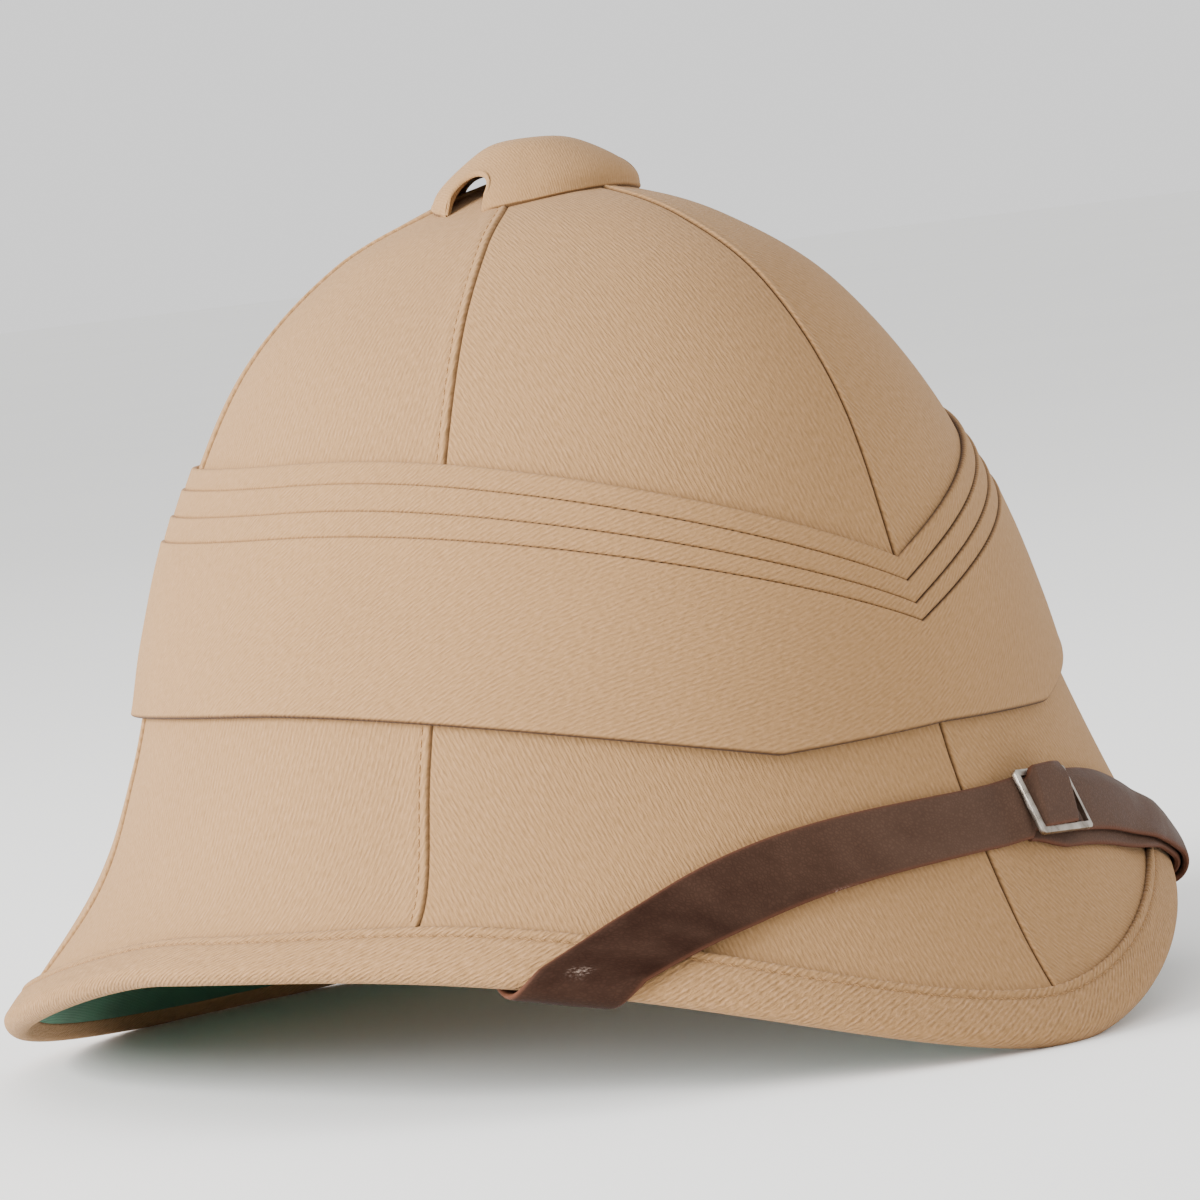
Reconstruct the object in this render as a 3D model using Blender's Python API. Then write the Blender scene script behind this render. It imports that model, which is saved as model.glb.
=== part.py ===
"""Pith helmet: cloth-covered crown and brim, ventilator cap, pugaree, bound rim, brim lining,
leather chin strap with a slide buckle. Metres, +Z up, front towards -Y, wearer's right at -X.
The origin is at the middle of the footprint, on the surface that the front and back peaks rest on."""
import math

import bpy
import bmesh
import numpy as np
from mathutils import Matrix, Vector
from mathutils.bvhtree import BVHTree

# Overall sizes of the crown and brim
HELMET_LENGTH = 0.337
HELMET_WIDTH = 0.282
CROWN_HEIGHT = 0.2155

# Crown and brim sections from the top to the rim. Reach is a share of half the length or width,
# measured forward, sideways and backward. Height is a share of the crown height.
SECTIONS = (
    # front reach, front height, side reach, side height, back reach, back height
    (0.030, 1.000, 0.000, 1.000, -0.030, 1.000),
    (0.215, 0.978, 0.170, 0.970, -0.115, 0.986),
    (0.374, 0.935, 0.312, 0.923, -0.332, 0.914),
    (0.534, 0.852, 0.489, 0.817, -0.493, 0.803),
    (0.665, 0.708, 0.652, 0.652, -0.579, 0.654),
    (0.745, 0.503, 0.748, 0.503, -0.629, 0.503),
    (0.801, 0.306, 0.830, 0.371, -0.662, 0.353),
    (0.898, 0.125, 0.909, 0.239, -0.757, 0.216),
    (1.000, 0.000, 1.000, 0.161, -1.000, 0.000),
)
PLAN_POWER_FRONT = 1.70
PLAN_POWER_BACK = 2.14
RIM_DIP_FRONT = 3.7
RIM_SIDE_SOFTNESS = 0.02
RIM_REST_FLAT = 0.0007

# Walls and layers
SHELL_WALL = 0.0040
CLOTH_GAP = 0.0006
BINDING_THICKNESS = 0.0010
BINDING_WIDTH_OUTSIDE = 0.0140
BINDING_WIDTH_INSIDE = 0.0085
LINING_THICKNESS = 0.0010
LINING_WIDTH = 0.0620

# Pugaree lines. Height is a share of the crown height, lift is in wrap layers.
PUGAREE_LAYER = 0.0010
PUGAREE_GAP = 0.0007
PUGAREE_LINES = (
    # height at the front, height at the side, height at the back, layers over the shell
    (0.537, 0.712, 0.712, 1.0),
    (0.509, 0.687, 0.687, 1.6),
    (0.483, 0.657, 0.655, 2.2),
    (0.463, 0.629, 0.626, 2.8),
)
PUGAREE_FOOT_FRONT = 0.352
PUGAREE_FOOT_KINK = 0.345
PUGAREE_FOOT_SIDE = 0.440
PUGAREE_FOOT_BACK = 0.400
PUGAREE_KINK_ANGLE = 24.0
PUGAREE_V_POWER = 1.18
PUGAREE_BAND_LAYERS = 2.4

# Ventilator cap
CAP_RADIUS = 0.0262
CAP_HEIGHT = 0.0157
CAP_CENTRE_FORWARD = 0.0085
CAP_WALL = 0.0020
CAP_DOME_POWER = 1.0
CAP_DOME_FLATNESS = 0.6
CAP_SEAT_GAP = 0.0004
CAP_ARCH_WIDTH = 0.0135
CAP_ARCH_HEIGHT = 0.0080
CAP_ARCH_ANGLES = (86.0, 190.0, 294.0)

# Chin strap, along a route over the front peak, round the rim and up to the ears
STRAP_WIDTH = 0.0158
STRAP_THICKNESS = 0.0018
STRAP_GAP = 0.0007
STRAP_LAYER_GAP = 0.0004
STRAP_FRONT_REACH = 0.0605
STRAP_RIM_ANGLE = 49.0
STUD_ANGLE = 80.0
STUD_REACH = 0.0480
STRAP_END = 0.0080
TAIL_START_ANGLE = 9.2
TAIL_SHIFT = 0.0020
TAIL_SHIFT_ANGLE = 8.0
# The upper layer climbs on to its tail over a few degrees, from a lead before the tail's end
TAIL_RISE_LEAD = 5.5
TAIL_RISE_ANGLE = 4.5
# Past the binding's edge the strap comes down to the brim's cloth
BINDING_STEP_START = 0.0010
BINDING_STEP_RUN = 0.0120
# Nearer the rim than this, and over this run, the strap's sections turn to lie along the rim
STRAP_TURN_REACH = 0.0100
STRAP_TURN_RUN = 0.0250

# Slide buckle
BUCKLE_ANGLE = 13.0
BUCKLE_LENGTH = 0.0217
BUCKLE_BAR = 0.0016
BUCKLE_SIDE_CLEARANCE = 0.0008
BUCKLE_CORNER = 0.0022
ARCH_SHARE = 0.90
ARCH_STEEPNESS = 1.30

# Studs that hold the strap's ends
STUD_HEAD_RADIUS = 0.0045
STUD_HEAD_HEIGHT = 0.0016
STUD_SHANK_RADIUS = 0.0015
STUD_HOLE_CLEARANCE = 0.0004
STUD_FOOT_GAP = 0.0003

# Mesh fineness
AROUND = 52
PROFILE_SAMPLES = 121
EDGE_STEPS = 6
FOOT_HALF_ANGLE = 2.5
BRIM_ROWS = 4
CROWN_ROWS_OUTSIDE = 11
CROWN_ROWS_INSIDE = 6
CROWN_LAST_ROW = 0.965
CAP_AROUND = 32
CAP_ROWS = (0.0, 0.15, 0.32, 0.50, 0.66, 0.82, 0.94)
STUD_AROUND = 12
# Degrees between the strap's sections: where it turns round the rim, over the buckle's bar,
# beside the buckle, down the sides and over the front
STRAP_STEP_RIM = 0.7
STRAP_STEP_BAR = 0.9
STRAP_STEP_BUCKLE = 2.0
STRAP_STEP_SIDE = 3.5
STRAP_STEP_FRONT = 5.0

HALF_LENGTH = HELMET_LENGTH / 2
HALF_WIDTH = HELMET_WIDTH / 2
BINDING_OUTER = CLOTH_GAP + BINDING_THICKNESS
LINING_OUTER = CLOTH_GAP + LINING_THICKNESS
EDGE_RADIUS = (SHELL_WALL + 2 * BINDING_OUTER) / 2
EDGE_CENTRE = BINDING_OUTER - EDGE_RADIUS
EDGE_QUARTER = math.pi * EDGE_RADIUS / 2
STRAP_SECOND_LAYER = STRAP_THICKNESS + STRAP_LAYER_GAP
STRAP_RIM_SLOPE = 2 * STRAP_FRONT_REACH / STRAP_RIM_ANGLE
BUCKLE_ARCH = STRAP_THICKNESS + 1.3 * BUCKLE_BAR
SECTION_TABLE = np.array(SECTIONS)
# How the helmet is set down: a rise, and a rise for each metre from front to back
SETTLE = {"rise": 0.0, "slope": 0.0}


def smooth_step(value):
    """0 below 0, 1 above 1 and a soft rise between."""
    value = np.clip(value, 0.0, 1.0)
    return value * value * (3 - 2 * value)


def section_rows(level):
    """The section table read between its rows by a smooth curve, for an array of levels."""
    last = len(SECTION_TABLE) - 1
    first = np.clip(np.floor(level).astype(int), 0, last - 1)
    part = (level - first)[:, None]
    mirrored = SECTION_TABLE[1].copy()
    mirrored[0] = -SECTION_TABLE[1, 4]
    mirrored[2] = -SECTION_TABLE[1, 2]
    mirrored[4] = -SECTION_TABLE[1, 0]
    mirrored[[1, 5]] = mirrored[[5, 1]]
    beyond = 2 * SECTION_TABLE[last] - SECTION_TABLE[last - 1]
    padded = np.vstack([mirrored, SECTION_TABLE, beyond])
    a, b, c, d = (padded[first + step] for step in range(4))
    return 0.5 * (2 * b + (c - a) * part + (2 * a - 5 * b + 4 * c - d) * part ** 2
                  + (3 * b - a - 3 * c + d) * part ** 3)


def skin_at_level(level, angle):
    """Points of the outer skin at an array of levels, at one angle in degrees from the front."""
    rows = section_rows(level)
    cosine = math.cos(math.radians(angle))
    sine = math.sin(math.radians(angle))
    front = cosine >= 0
    blend = (level / (len(SECTION_TABLE) - 1)) ** 2
    power = 2 + ((PLAN_POWER_FRONT if front else PLAN_POWER_BACK) - 2) * blend
    middle = HALF_LENGTH * (rows[:, 0] + rows[:, 4]) / 2
    half = HALF_LENGTH * (rows[:, 0] - rows[:, 4]) / 2
    forward = middle + half * math.copysign(1, cosine) * abs(cosine) ** (2 / power)
    aside = HALF_WIDTH * rows[:, 2] * math.copysign(1, sine) * abs(sine) ** (2 / power)
    if front:
        rim_dip = abs(cosine) ** RIM_DIP_FRONT
    else:
        soft = math.sqrt(RIM_SIDE_SOFTNESS)
        rim_dip = ((math.sqrt(cosine ** 2 + RIM_SIDE_SOFTNESS) - soft)
                   / (math.sqrt(1 + RIM_SIDE_SOFTNESS) - soft))
    dip = (1 - blend) * cosine ** 2 + blend * rim_dip
    end_height = rows[:, 1] if front else rows[:, 5]
    height = CROWN_HEIGHT * (rows[:, 3] * (1 - dip) + end_height * dip)
    return np.stack([-aside, -forward, height + SETTLE["rise"] - SETTLE["slope"] * forward], axis=1)


class Profile:
    """The outer skin's line at one angle, measured up from the rim, with its outward normals."""

    def __init__(self, angle):
        level = np.linspace(len(SECTION_TABLE) - 1, 0.02, PROFILE_SAMPLES)
        self.points = skin_at_level(level, angle)
        beside = skin_at_level(level, angle + 0.5) - skin_at_level(level, angle - 0.5)
        along = np.gradient(self.points, axis=0)
        normal = np.cross(beside, along)
        self.normals = normal / np.linalg.norm(normal, axis=1)[:, None]
        if self.normals[PROFILE_SAMPLES // 2, :2] @ self.points[PROFILE_SAMPLES // 2, :2] < 0:
            self.normals = -self.normals
        step = np.linalg.norm(np.diff(self.points, axis=0), axis=1)
        self.reach = np.concatenate([[0.0], np.cumsum(step)])
        self.start = along[0] / np.linalg.norm(along[0])

    def at(self, reach, lift):
        """Point at a distance up from the rim, lifted off the skin. Inward lifts are negative."""
        point = np.array([np.interp(reach, self.reach, self.points[:, k]) for k in range(3)])
        normal = np.array([np.interp(reach, self.reach, self.normals[:, k]) for k in range(3)])
        if reach < 0:
            point = point + self.start * reach
        return point + lift * normal / np.linalg.norm(normal)

    def reach_at_height(self, height):
        return float(np.interp(height, self.points[:, 2], self.reach))


PROFILES = {}


def profile(angle):
    key = round(angle, 4)
    if key not in PROFILES:
        PROFILES[key] = Profile(key)
    return PROFILES[key]


def ring_angles():
    """Angles round the helmet, with more at the front and back feet that it rests on."""
    angles = [360.0 * k / AROUND for k in range(AROUND)]
    for foot in (0.0, 180.0):
        angles += [(foot + FOOT_HALF_ANGLE) % 360, (foot - FOOT_HALF_ANGLE) % 360]
    return sorted(angles)


def material(name, colour, roughness, metallic=0.0):
    made = bpy.data.materials.new(name)
    made.use_nodes = True
    shader = made.node_tree.nodes["Principled BSDF"]
    shader.inputs["Base Color"].default_value = (*colour, 1.0)
    shader.inputs["Roughness"].default_value = roughness
    shader.inputs["Metallic"].default_value = metallic
    return made


def add_object(name, mesh_data, finish):
    """A named object with its faces pointing out, from a finished bmesh."""
    bmesh.ops.recalc_face_normals(mesh_data, faces=mesh_data.faces[:])
    if mesh_data.calc_volume(signed=True) < 0:
        bmesh.ops.reverse_faces(mesh_data, faces=mesh_data.faces[:])
    mesh = bpy.data.meshes.new(name)
    mesh_data.to_mesh(mesh)
    mesh_data.free()
    mesh.shade_smooth()
    mesh.set_sharp_from_angle(angle=math.radians(40))
    made = bpy.data.objects.new(name, mesh)
    bpy.context.scene.collection.objects.link(made)
    if finish:
        mesh.materials.append(finish)
    return made


def bridge(mesh_data, first, second):
    """Quads between two closed loops of equal count."""
    count = len(first)
    for k in range(count):
        after = (k + 1) % count
        mesh_data.faces.new((first[k], first[after], second[after], second[k]))


def lay_rings(rings, closed_section=True, start_pole=None, end_pole=None):
    """A bmesh skinned through closed rings of points. A closed section joins the last ring to
    the first. Otherwise a pole closes each end."""
    mesh_data = bmesh.new()
    loops = [[mesh_data.verts.new(point) for point in ring] for ring in rings]
    for first, second in zip(loops, loops[1:]):
        bridge(mesh_data, first, second)
    if closed_section:
        bridge(mesh_data, loops[-1], loops[0])
    for pole, loop in ((start_pole, loops[0]), (end_pole, loops[-1])):
        if pole is not None:
            tip = mesh_data.verts.new(pole)
            for k in range(len(loop)):
                mesh_data.faces.new((tip, loop[k], loop[(k + 1) % len(loop)]))
    return mesh_data


def rest_on_surface(points):
    """Cloth pressed flat where the rim stands on the surface."""
    return [(x, y, max(z, 0.0)) for x, y, z in points]


def brim_reaches():
    """Distances up from the rim that the shell, the binding and the lining share."""
    rows = [BINDING_WIDTH_OUTSIDE / 2, BINDING_WIDTH_OUTSIDE]
    for k in range(1, BRIM_ROWS + 1):
        rows.append(BINDING_WIDTH_OUTSIDE + (LINING_WIDTH - BINDING_WIDTH_OUTSIDE) * k / BRIM_ROWS)
    return rows


def build_helmet_shell(finish):
    """Crown and brim in one hollow wall, closed at the top and open below."""
    brim_rows = [BINDING_OUTER] + brim_reaches()
    rings = []
    for lift, crown_rows in ((0.0, CROWN_ROWS_OUTSIDE), (-SHELL_WALL, CROWN_ROWS_INSIDE)):
        crown_shares = [k / crown_rows for k in range(1, crown_rows)] + [CROWN_LAST_ROW]
        side = []
        for reach in brim_rows:
            side.append([profile(angle).at(reach, lift) for angle in ring_angles()])
        for share in crown_shares:
            ring = []
            for angle in ring_angles():
                line = profile(angle)
                ring.append(line.at(LINING_WIDTH + share * (line.reach[-1] - LINING_WIDTH), lift))
            side.append(ring)
        rings += side if rings else side[::-1]
    top = profile(0.0).points[-1]
    crown_top = (0.0, float(profile(0.0).points[-1, 1] + profile(180.0).points[-1, 1]) / 2, float(top[2]))
    inner_top = (crown_top[0], crown_top[1], crown_top[2] - SHELL_WALL)
    return add_object("helmet_shell", lay_rings(rings, False, crown_top, inner_top), finish)


def pugaree_height(front, side, back, angle):
    """Height of a pugaree line: a V at the front, level round the sides and back."""
    sine = abs(math.sin(math.radians(angle)))
    if math.cos(math.radians(angle)) >= 0:
        return CROWN_HEIGHT * (side - (side - front) * (1 - sine) ** PUGAREE_V_POWER)
    return CROWN_HEIGHT * (side - (side - back) * (1 - sine))


def pugaree_foot_height(angle):
    """Height of the band's lower edge: a soft kink each side of the front, high at the sides."""
    turn = abs((angle + 180) % 360 - 180)
    if turn <= PUGAREE_KINK_ANGLE:
        share = PUGAREE_FOOT_FRONT + (PUGAREE_FOOT_KINK - PUGAREE_FOOT_FRONT) * turn / PUGAREE_KINK_ANGLE
    elif turn <= 90:
        rise = math.sin(math.radians(90 * (turn - PUGAREE_KINK_ANGLE) / (90 - PUGAREE_KINK_ANGLE)))
        share = PUGAREE_FOOT_KINK + (PUGAREE_FOOT_SIDE - PUGAREE_FOOT_KINK) * rise
    else:
        sine = math.sin(math.radians(turn))
        share = PUGAREE_FOOT_SIDE - (PUGAREE_FOOT_SIDE - PUGAREE_FOOT_BACK) * (1 - sine)
    return CROWN_HEIGHT * share


def build_pugaree(finish):
    """The wound band: three stepped folds over a wide band, a closed section swept round."""
    step = PUGAREE_LAYER * 0.5
    sections = []
    for angle in ring_angles():
        line = profile(angle)
        reaches = [line.reach_at_height(pugaree_height(f, s, b, angle)) for f, s, b, layers in PUGAREE_LINES]
        lifts = [PUGAREE_GAP + layers * PUGAREE_LAYER for f, s, b, layers in PUGAREE_LINES]
        foot = line.reach_at_height(pugaree_foot_height(angle))
        outside = []
        for k, (reach, lift) in enumerate(zip(reaches, lifts)):
            if k:
                outside.append(line.at(reach + step, lifts[k - 1] + step))
            outside.append(line.at(reach, lift))
        band_lift = PUGAREE_GAP + PUGAREE_BAND_LAYERS * PUGAREE_LAYER
        for share in (0.35, 0.7):
            outside.append(line.at(reaches[-1] + share * (foot - reaches[-1]), band_lift))
        outside.append(line.at(foot, PUGAREE_GAP + (PUGAREE_BAND_LAYERS - 1) * PUGAREE_LAYER))
        inside = []
        inner_count = 7
        for k in range(inner_count):
            share = k / (inner_count - 1)
            inside.append(line.at(foot + share * (reaches[0] - foot), PUGAREE_GAP))
        sections.append(outside + inside)
    rings = [[section[k] for section in sections] for k in range(len(sections[0]))]
    return add_object("pugaree", lay_rings(rings), finish)


def edge_point(line, turn, radius):
    """A point round the rim's edge. Turn runs from 0 outside to pi inside."""
    reach = EDGE_RADIUS - radius * math.sin(turn)
    lift = EDGE_CENTRE + radius * math.cos(turn)
    return line.at(reach, lift)


def settle_on_surface():
    """Set the helmet down, so that the bound edge is pressed a little at the front and back."""
    lowest = []
    for angle in (0.0, 180.0):
        line = Profile(angle)
        lowest.append(min(edge_point(line, math.pi * k / 36, EDGE_RADIUS)[2] for k in range(37)))
    SETTLE["rise"] = -(lowest[0] + lowest[1]) / 2 - RIM_REST_FLAT
    SETTLE["slope"] = (lowest[0] - lowest[1]) / HELMET_LENGTH


def build_rim_binding(finish):
    """Cloth folded round the rim: a channel that hugs the shell's edge, flat where it stands."""
    inner_radius = EDGE_RADIUS - BINDING_THICKNESS
    sections = []
    for angle in ring_angles():
        line = profile(angle)
        outside = [line.at(BINDING_WIDTH_OUTSIDE, BINDING_OUTER), line.at(BINDING_WIDTH_OUTSIDE / 2, BINDING_OUTER)]
        for k in range(EDGE_STEPS + 1):
            outside.append(edge_point(line, math.pi * k / EDGE_STEPS, EDGE_RADIUS))
        outside.append(line.at(BINDING_WIDTH_INSIDE, EDGE_CENTRE - EDGE_RADIUS))
        inside = [line.at(reach, EDGE_CENTRE - inner_radius) for reach in (BINDING_WIDTH_INSIDE, BINDING_WIDTH_OUTSIDE / 2)]
        for side in (-1, 1):
            inside.append(line.at(BINDING_OUTER - CLOTH_GAP, EDGE_CENTRE + side * inner_radius))
        inside.append(line.at(BINDING_WIDTH_OUTSIDE / 2, EDGE_CENTRE + inner_radius))
        inside.append(line.at(BINDING_WIDTH_OUTSIDE, EDGE_CENTRE + inner_radius))
        sections.append(rest_on_surface(outside + inside))
    rings = [[section[k] for section in sections] for k in range(len(sections[0]))]
    return add_object("rim_binding", lay_rings(rings), finish)


def build_brim_lining(finish):
    """The sheet under the brim, from the binding's inner edge up towards the head."""
    reaches = [BINDING_WIDTH_INSIDE + CLOTH_GAP] + brim_reaches()[1:]
    rings = []
    for lift in (-SHELL_WALL - CLOTH_GAP, -SHELL_WALL - LINING_OUTER):
        side = [[profile(angle).at(reach, lift) for angle in ring_angles()] for reach in reaches]
        rings += side if rings else side[::-1]
    return add_object("brim_lining", lay_rings(rings), finish)


def build_arch_cutter(angle, centre, base_height):
    """An arched prism that cuts one opening through the cap's wall."""
    half = CAP_ARCH_WIDTH / 2
    below = CAP_HEIGHT
    outline = [(-half, -below)]
    for k in range(9):
        turn = math.pi * (1 - k / 8)
        outline.append((half * math.cos(turn), CAP_ARCH_HEIGHT * (0.35 + 0.65 * math.sin(turn))))
    outline.append((half, -below))
    forward = Vector((-math.sin(math.radians(angle)), -math.cos(math.radians(angle)), 0.0))
    aside = Vector((forward.y, -forward.x, 0.0))
    base = Vector((centre[0], centre[1], base_height))
    cutter = bmesh.new()
    loops = []
    for distance in (CAP_RADIUS * 0.5, CAP_RADIUS * 1.3):
        loops.append([cutter.verts.new(base + forward * distance + aside * a + Vector((0, 0, h)))
                      for a, h in outline])
    bridge(cutter, loops[0], loops[1])
    cutter.faces.new(loops[0])
    cutter.faces.new(loops[1])
    made = add_object("cap_arch_cutter", cutter, None)
    made.hide_render = True
    made.display_type = "WIRE"
    return made


def build_ventilator_cap(shell, finish):
    """The domed cap, its edge following the crown, with arched openings cut through its wall."""
    tree = BVHTree.FromPolygons([v.co for v in shell.data.vertices], [p.vertices for p in shell.data.polygons])
    centre = (0.0, -CAP_CENTRE_FORWARD)
    seats = {}
    for wall in (0.0, CAP_WALL):
        seats[wall] = []
        for k in range(CAP_AROUND):
            turn = math.tau * k / CAP_AROUND
            radius = CAP_RADIUS - wall
            spot = Vector((centre[0] + radius * math.sin(turn), centre[1] + radius * math.cos(turn), CROWN_HEIGHT * 2))
            seats[wall].append(tree.ray_cast(spot, Vector((0, 0, -1)))[0].z + CAP_SEAT_GAP)
    mean_height = sum(seats[0.0]) / CAP_AROUND
    top = mean_height + CAP_HEIGHT
    rings = []
    for wall, shares in ((0.0, CAP_ROWS[::-1]), (CAP_WALL, CAP_ROWS)):
        for share in shares:
            ring = []
            radius = (CAP_RADIUS - wall) * (1 - share ** 2) ** (CAP_DOME_POWER - CAP_DOME_FLATNESS * share ** 2)
            for k in range(CAP_AROUND):
                turn = math.tau * k / CAP_AROUND
                height = seats[wall][k] + share * (top - wall - seats[wall][k])
                ring.append((centre[0] + radius * math.sin(turn), centre[1] + radius * math.cos(turn), height))
            rings.append(ring)
    poles = [(centre[0], centre[1], top), (centre[0], centre[1], top - CAP_WALL)]
    cap = add_object("ventilator_cap", lay_rings(rings, False, *poles), finish)
    for angle in CAP_ARCH_ANGLES:
        cut = cap.modifiers.new("arch", "BOOLEAN")
        cut.operation = "DIFFERENCE"
        cut.solver = "EXACT"
        cut.object = build_arch_cutter(angle, centre, mean_height)
    return cap


def wrap_point(angle, along, lift):
    """A point that lies over the rim: along is the distance from the rim's edge, positive
    outside and negative inside, and lift is the height over the cloth there."""
    line = profile(angle)
    if abs(along) <= EDGE_QUARTER:
        turn = (1 - along / EDGE_QUARTER) * math.pi / 2
        return edge_point(line, turn, EDGE_RADIUS + lift)
    reach = EDGE_RADIUS + abs(along) - EDGE_QUARTER
    if along > 0:
        over_binding = 1 - float(smooth_step((reach - BINDING_WIDTH_OUTSIDE - BINDING_STEP_START) / BINDING_STEP_RUN))
        return line.at(reach, over_binding * BINDING_OUTER + lift)
    return line.at(reach, EDGE_CENTRE - EDGE_RADIUS - lift)


def strap_along(angle):
    """Distance of the strap's middle line from the rim's edge, at an angle from the front."""
    turn = abs(angle)
    if turn <= STRAP_RIM_ANGLE:
        return STRAP_FRONT_REACH * (1 - (turn / STRAP_RIM_ANGLE) ** 2)
    past = turn - STRAP_RIM_ANGLE
    whole = STUD_ANGLE - STRAP_RIM_ANGLE
    ease = (STRAP_RIM_SLOPE * whole - STUD_REACH) / whole ** 2
    return -STRAP_RIM_SLOPE * past + ease * past ** 2


def strap_section(angle, lift, thickness, shift, across):
    """One closed cross-section of the strap: its faces lie along the cloth below it."""
    step = 0.25
    span_angle = step + step
    centre = strap_along(angle)
    side = wrap_point(angle + step, centre, lift) - wrap_point(angle - step, centre, lift)
    per_degree = float(np.linalg.norm(side)) / span_angle
    climb = strap_along(angle + step) - strap_along(angle - step)
    tangent = Vector((span_angle * per_degree, climb)).normalized()
    square = Vector((-tangent.y, tangent.x))
    level = Vector((-math.copysign(1.0, tangent.y * angle if angle else 1.0), 0.0))
    if square.x * level.x < 0:
        level = -level
    near_rim = 1 - float(smooth_step((abs(centre) - STRAP_TURN_REACH) / STRAP_TURN_RUN))
    direction = (square * (1 - near_rim) + level * near_rim).normalized()
    span = STRAP_WIDTH / abs(direction.dot(square))
    middle_shift = shift * (1 - near_rim)
    shares = [k / (across - 1) - 0.5 for k in range(across)]
    low, high = [], []
    for share in shares:
        offset = direction * (share * span)
        spot = (angle + offset.x / per_degree, centre + offset.y - middle_shift)
        low.append(wrap_point(spot[0], spot[1], lift))
        high.append(wrap_point(spot[0], spot[1], lift + thickness))
    return low + high[::-1]


def strap_lift(angle):
    """Height of the chin strap's lower face: on the cloth, over its tail past the buckle, and
    arched over the buckle's centre bar."""
    over_tail = float(smooth_step((-angle - TAIL_START_ANGLE + TAIL_RISE_LEAD) / TAIL_RISE_ANGLE))
    lift = STRAP_GAP + over_tail * STRAP_SECOND_LAYER
    reach_of_arch = ARCH_SHARE * (BUCKLE_LENGTH / 2 - BUCKLE_BAR) / degree_length(BUCKLE_ANGLE)
    from_middle = abs(-angle - BUCKLE_ANGLE) / reach_of_arch
    return lift + BUCKLE_ARCH * float(smooth_step((1 - from_middle) * ARCH_STEEPNESS))


def degree_length(angle):
    """Length of one degree along the strap at an angle from the front."""
    centre = strap_along(angle)
    side = wrap_point(-angle + 0.5, centre, 0.0) - wrap_point(-angle - 0.5, centre, 0.0)
    return float(np.linalg.norm(side))


def strap_angles(first, last):
    """Angles of the strap's sections: closer together where it bends most."""
    half_buckle = BUCKLE_LENGTH / 2 / degree_length(BUCKLE_ANGLE)
    rise_start = TAIL_START_ANGLE - TAIL_RISE_LEAD
    angles = []
    angle = first
    while angle < last - STRAP_STEP_RIM / 2:
        angles.append(angle)
        from_buckle = abs(-angle - BUCKLE_ANGLE)
        if abs(strap_along(angle)) < STRAP_WIDTH:
            angle += STRAP_STEP_RIM
        elif from_buckle < half_buckle:
            angle += STRAP_STEP_BAR
        elif rise_start < -angle < BUCKLE_ANGLE + 2 * half_buckle:
            angle += STRAP_STEP_BUCKLE
        elif strap_along(angle) > 2 * STRAP_WIDTH:
            angle += STRAP_STEP_FRONT
        else:
            angle += STRAP_STEP_SIDE
    angles.append(last)
    return angles


def build_strap_piece(name, first, last, lift_rule, shift_rule, finish, across=4):
    """A flat strap skinned through its sections, with closed ends."""
    body = bmesh.new()
    loops = []
    for angle in strap_angles(first, last):
        points = strap_section(angle, lift_rule(angle), STRAP_THICKNESS, shift_rule(angle), across)
        loops.append([body.verts.new(point) for point in points])
    for first_loop, second_loop in zip(loops, loops[1:]):
        bridge(body, first_loop, second_loop)
    body.faces.new(loops[0])
    body.faces.new(loops[-1])
    return add_object(name, body, finish)


def stud_frame(side, lift):
    """Place and outward direction of a stud inside the helmet, over a strap face."""
    angle = side * STUD_ANGLE
    low = Vector(wrap_point(angle, -STUD_REACH, lift))
    high = Vector(wrap_point(angle, -STUD_REACH, lift + 0.001))
    return low, (high - low).normalized()


def build_stud(name, side, layers_lift, finish):
    """A plain stud: a shank through the strap's end with a flat head on it."""
    foot, up = stud_frame(side, STUD_FOOT_GAP)
    head_low = layers_lift + STRAP_THICKNESS + STRAP_LAYER_GAP - STUD_FOOT_GAP
    stations = ((0.0, STUD_SHANK_RADIUS), (head_low, STUD_SHANK_RADIUS), (head_low, STUD_HEAD_RADIUS),
                (head_low + STUD_HEAD_HEIGHT, STUD_HEAD_RADIUS * 0.85))
    turn = up.to_track_quat("Z", "Y").to_matrix().to_4x4()
    place = Matrix.Translation(foot) @ turn
    body = bmesh.new()
    loops = []
    for height, radius in stations:
        loop = []
        for k in range(STUD_AROUND):
            round_angle = math.tau * k / STUD_AROUND
            loop.append(body.verts.new(place @ Vector((radius * math.cos(round_angle),
                                                       radius * math.sin(round_angle), height))))
        loops.append(loop)
    for lower, upper in zip(loops, loops[1:]):
        bridge(body, lower, upper)
    body.faces.new(loops[0])
    body.faces.new(loops[-1])
    return add_object(name, body, finish)


def cut_stud_hole(strap, side):
    """The hole through a strap's end for the stud's shank."""
    foot, up = stud_frame(side, 0.0)
    cutter = bmesh.new()
    turn = up.to_track_quat("Z", "Y").to_matrix().to_4x4()
    radius = STUD_SHANK_RADIUS + STUD_HOLE_CLEARANCE
    bmesh.ops.create_cone(cutter, cap_ends=True, segments=STUD_AROUND, radius1=radius, radius2=radius,
                          depth=4 * STRAP_SECOND_LAYER, matrix=Matrix.Translation(foot + up * STRAP_SECOND_LAYER) @ turn)
    made = add_object("stud_hole_cutter", cutter, None)
    made.hide_render = True
    made.display_type = "WIRE"
    cut = strap.modifiers.new("stud hole", "BOOLEAN")
    cut.operation = "DIFFERENCE"
    cut.solver = "EXACT"
    cut.object = made


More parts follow.
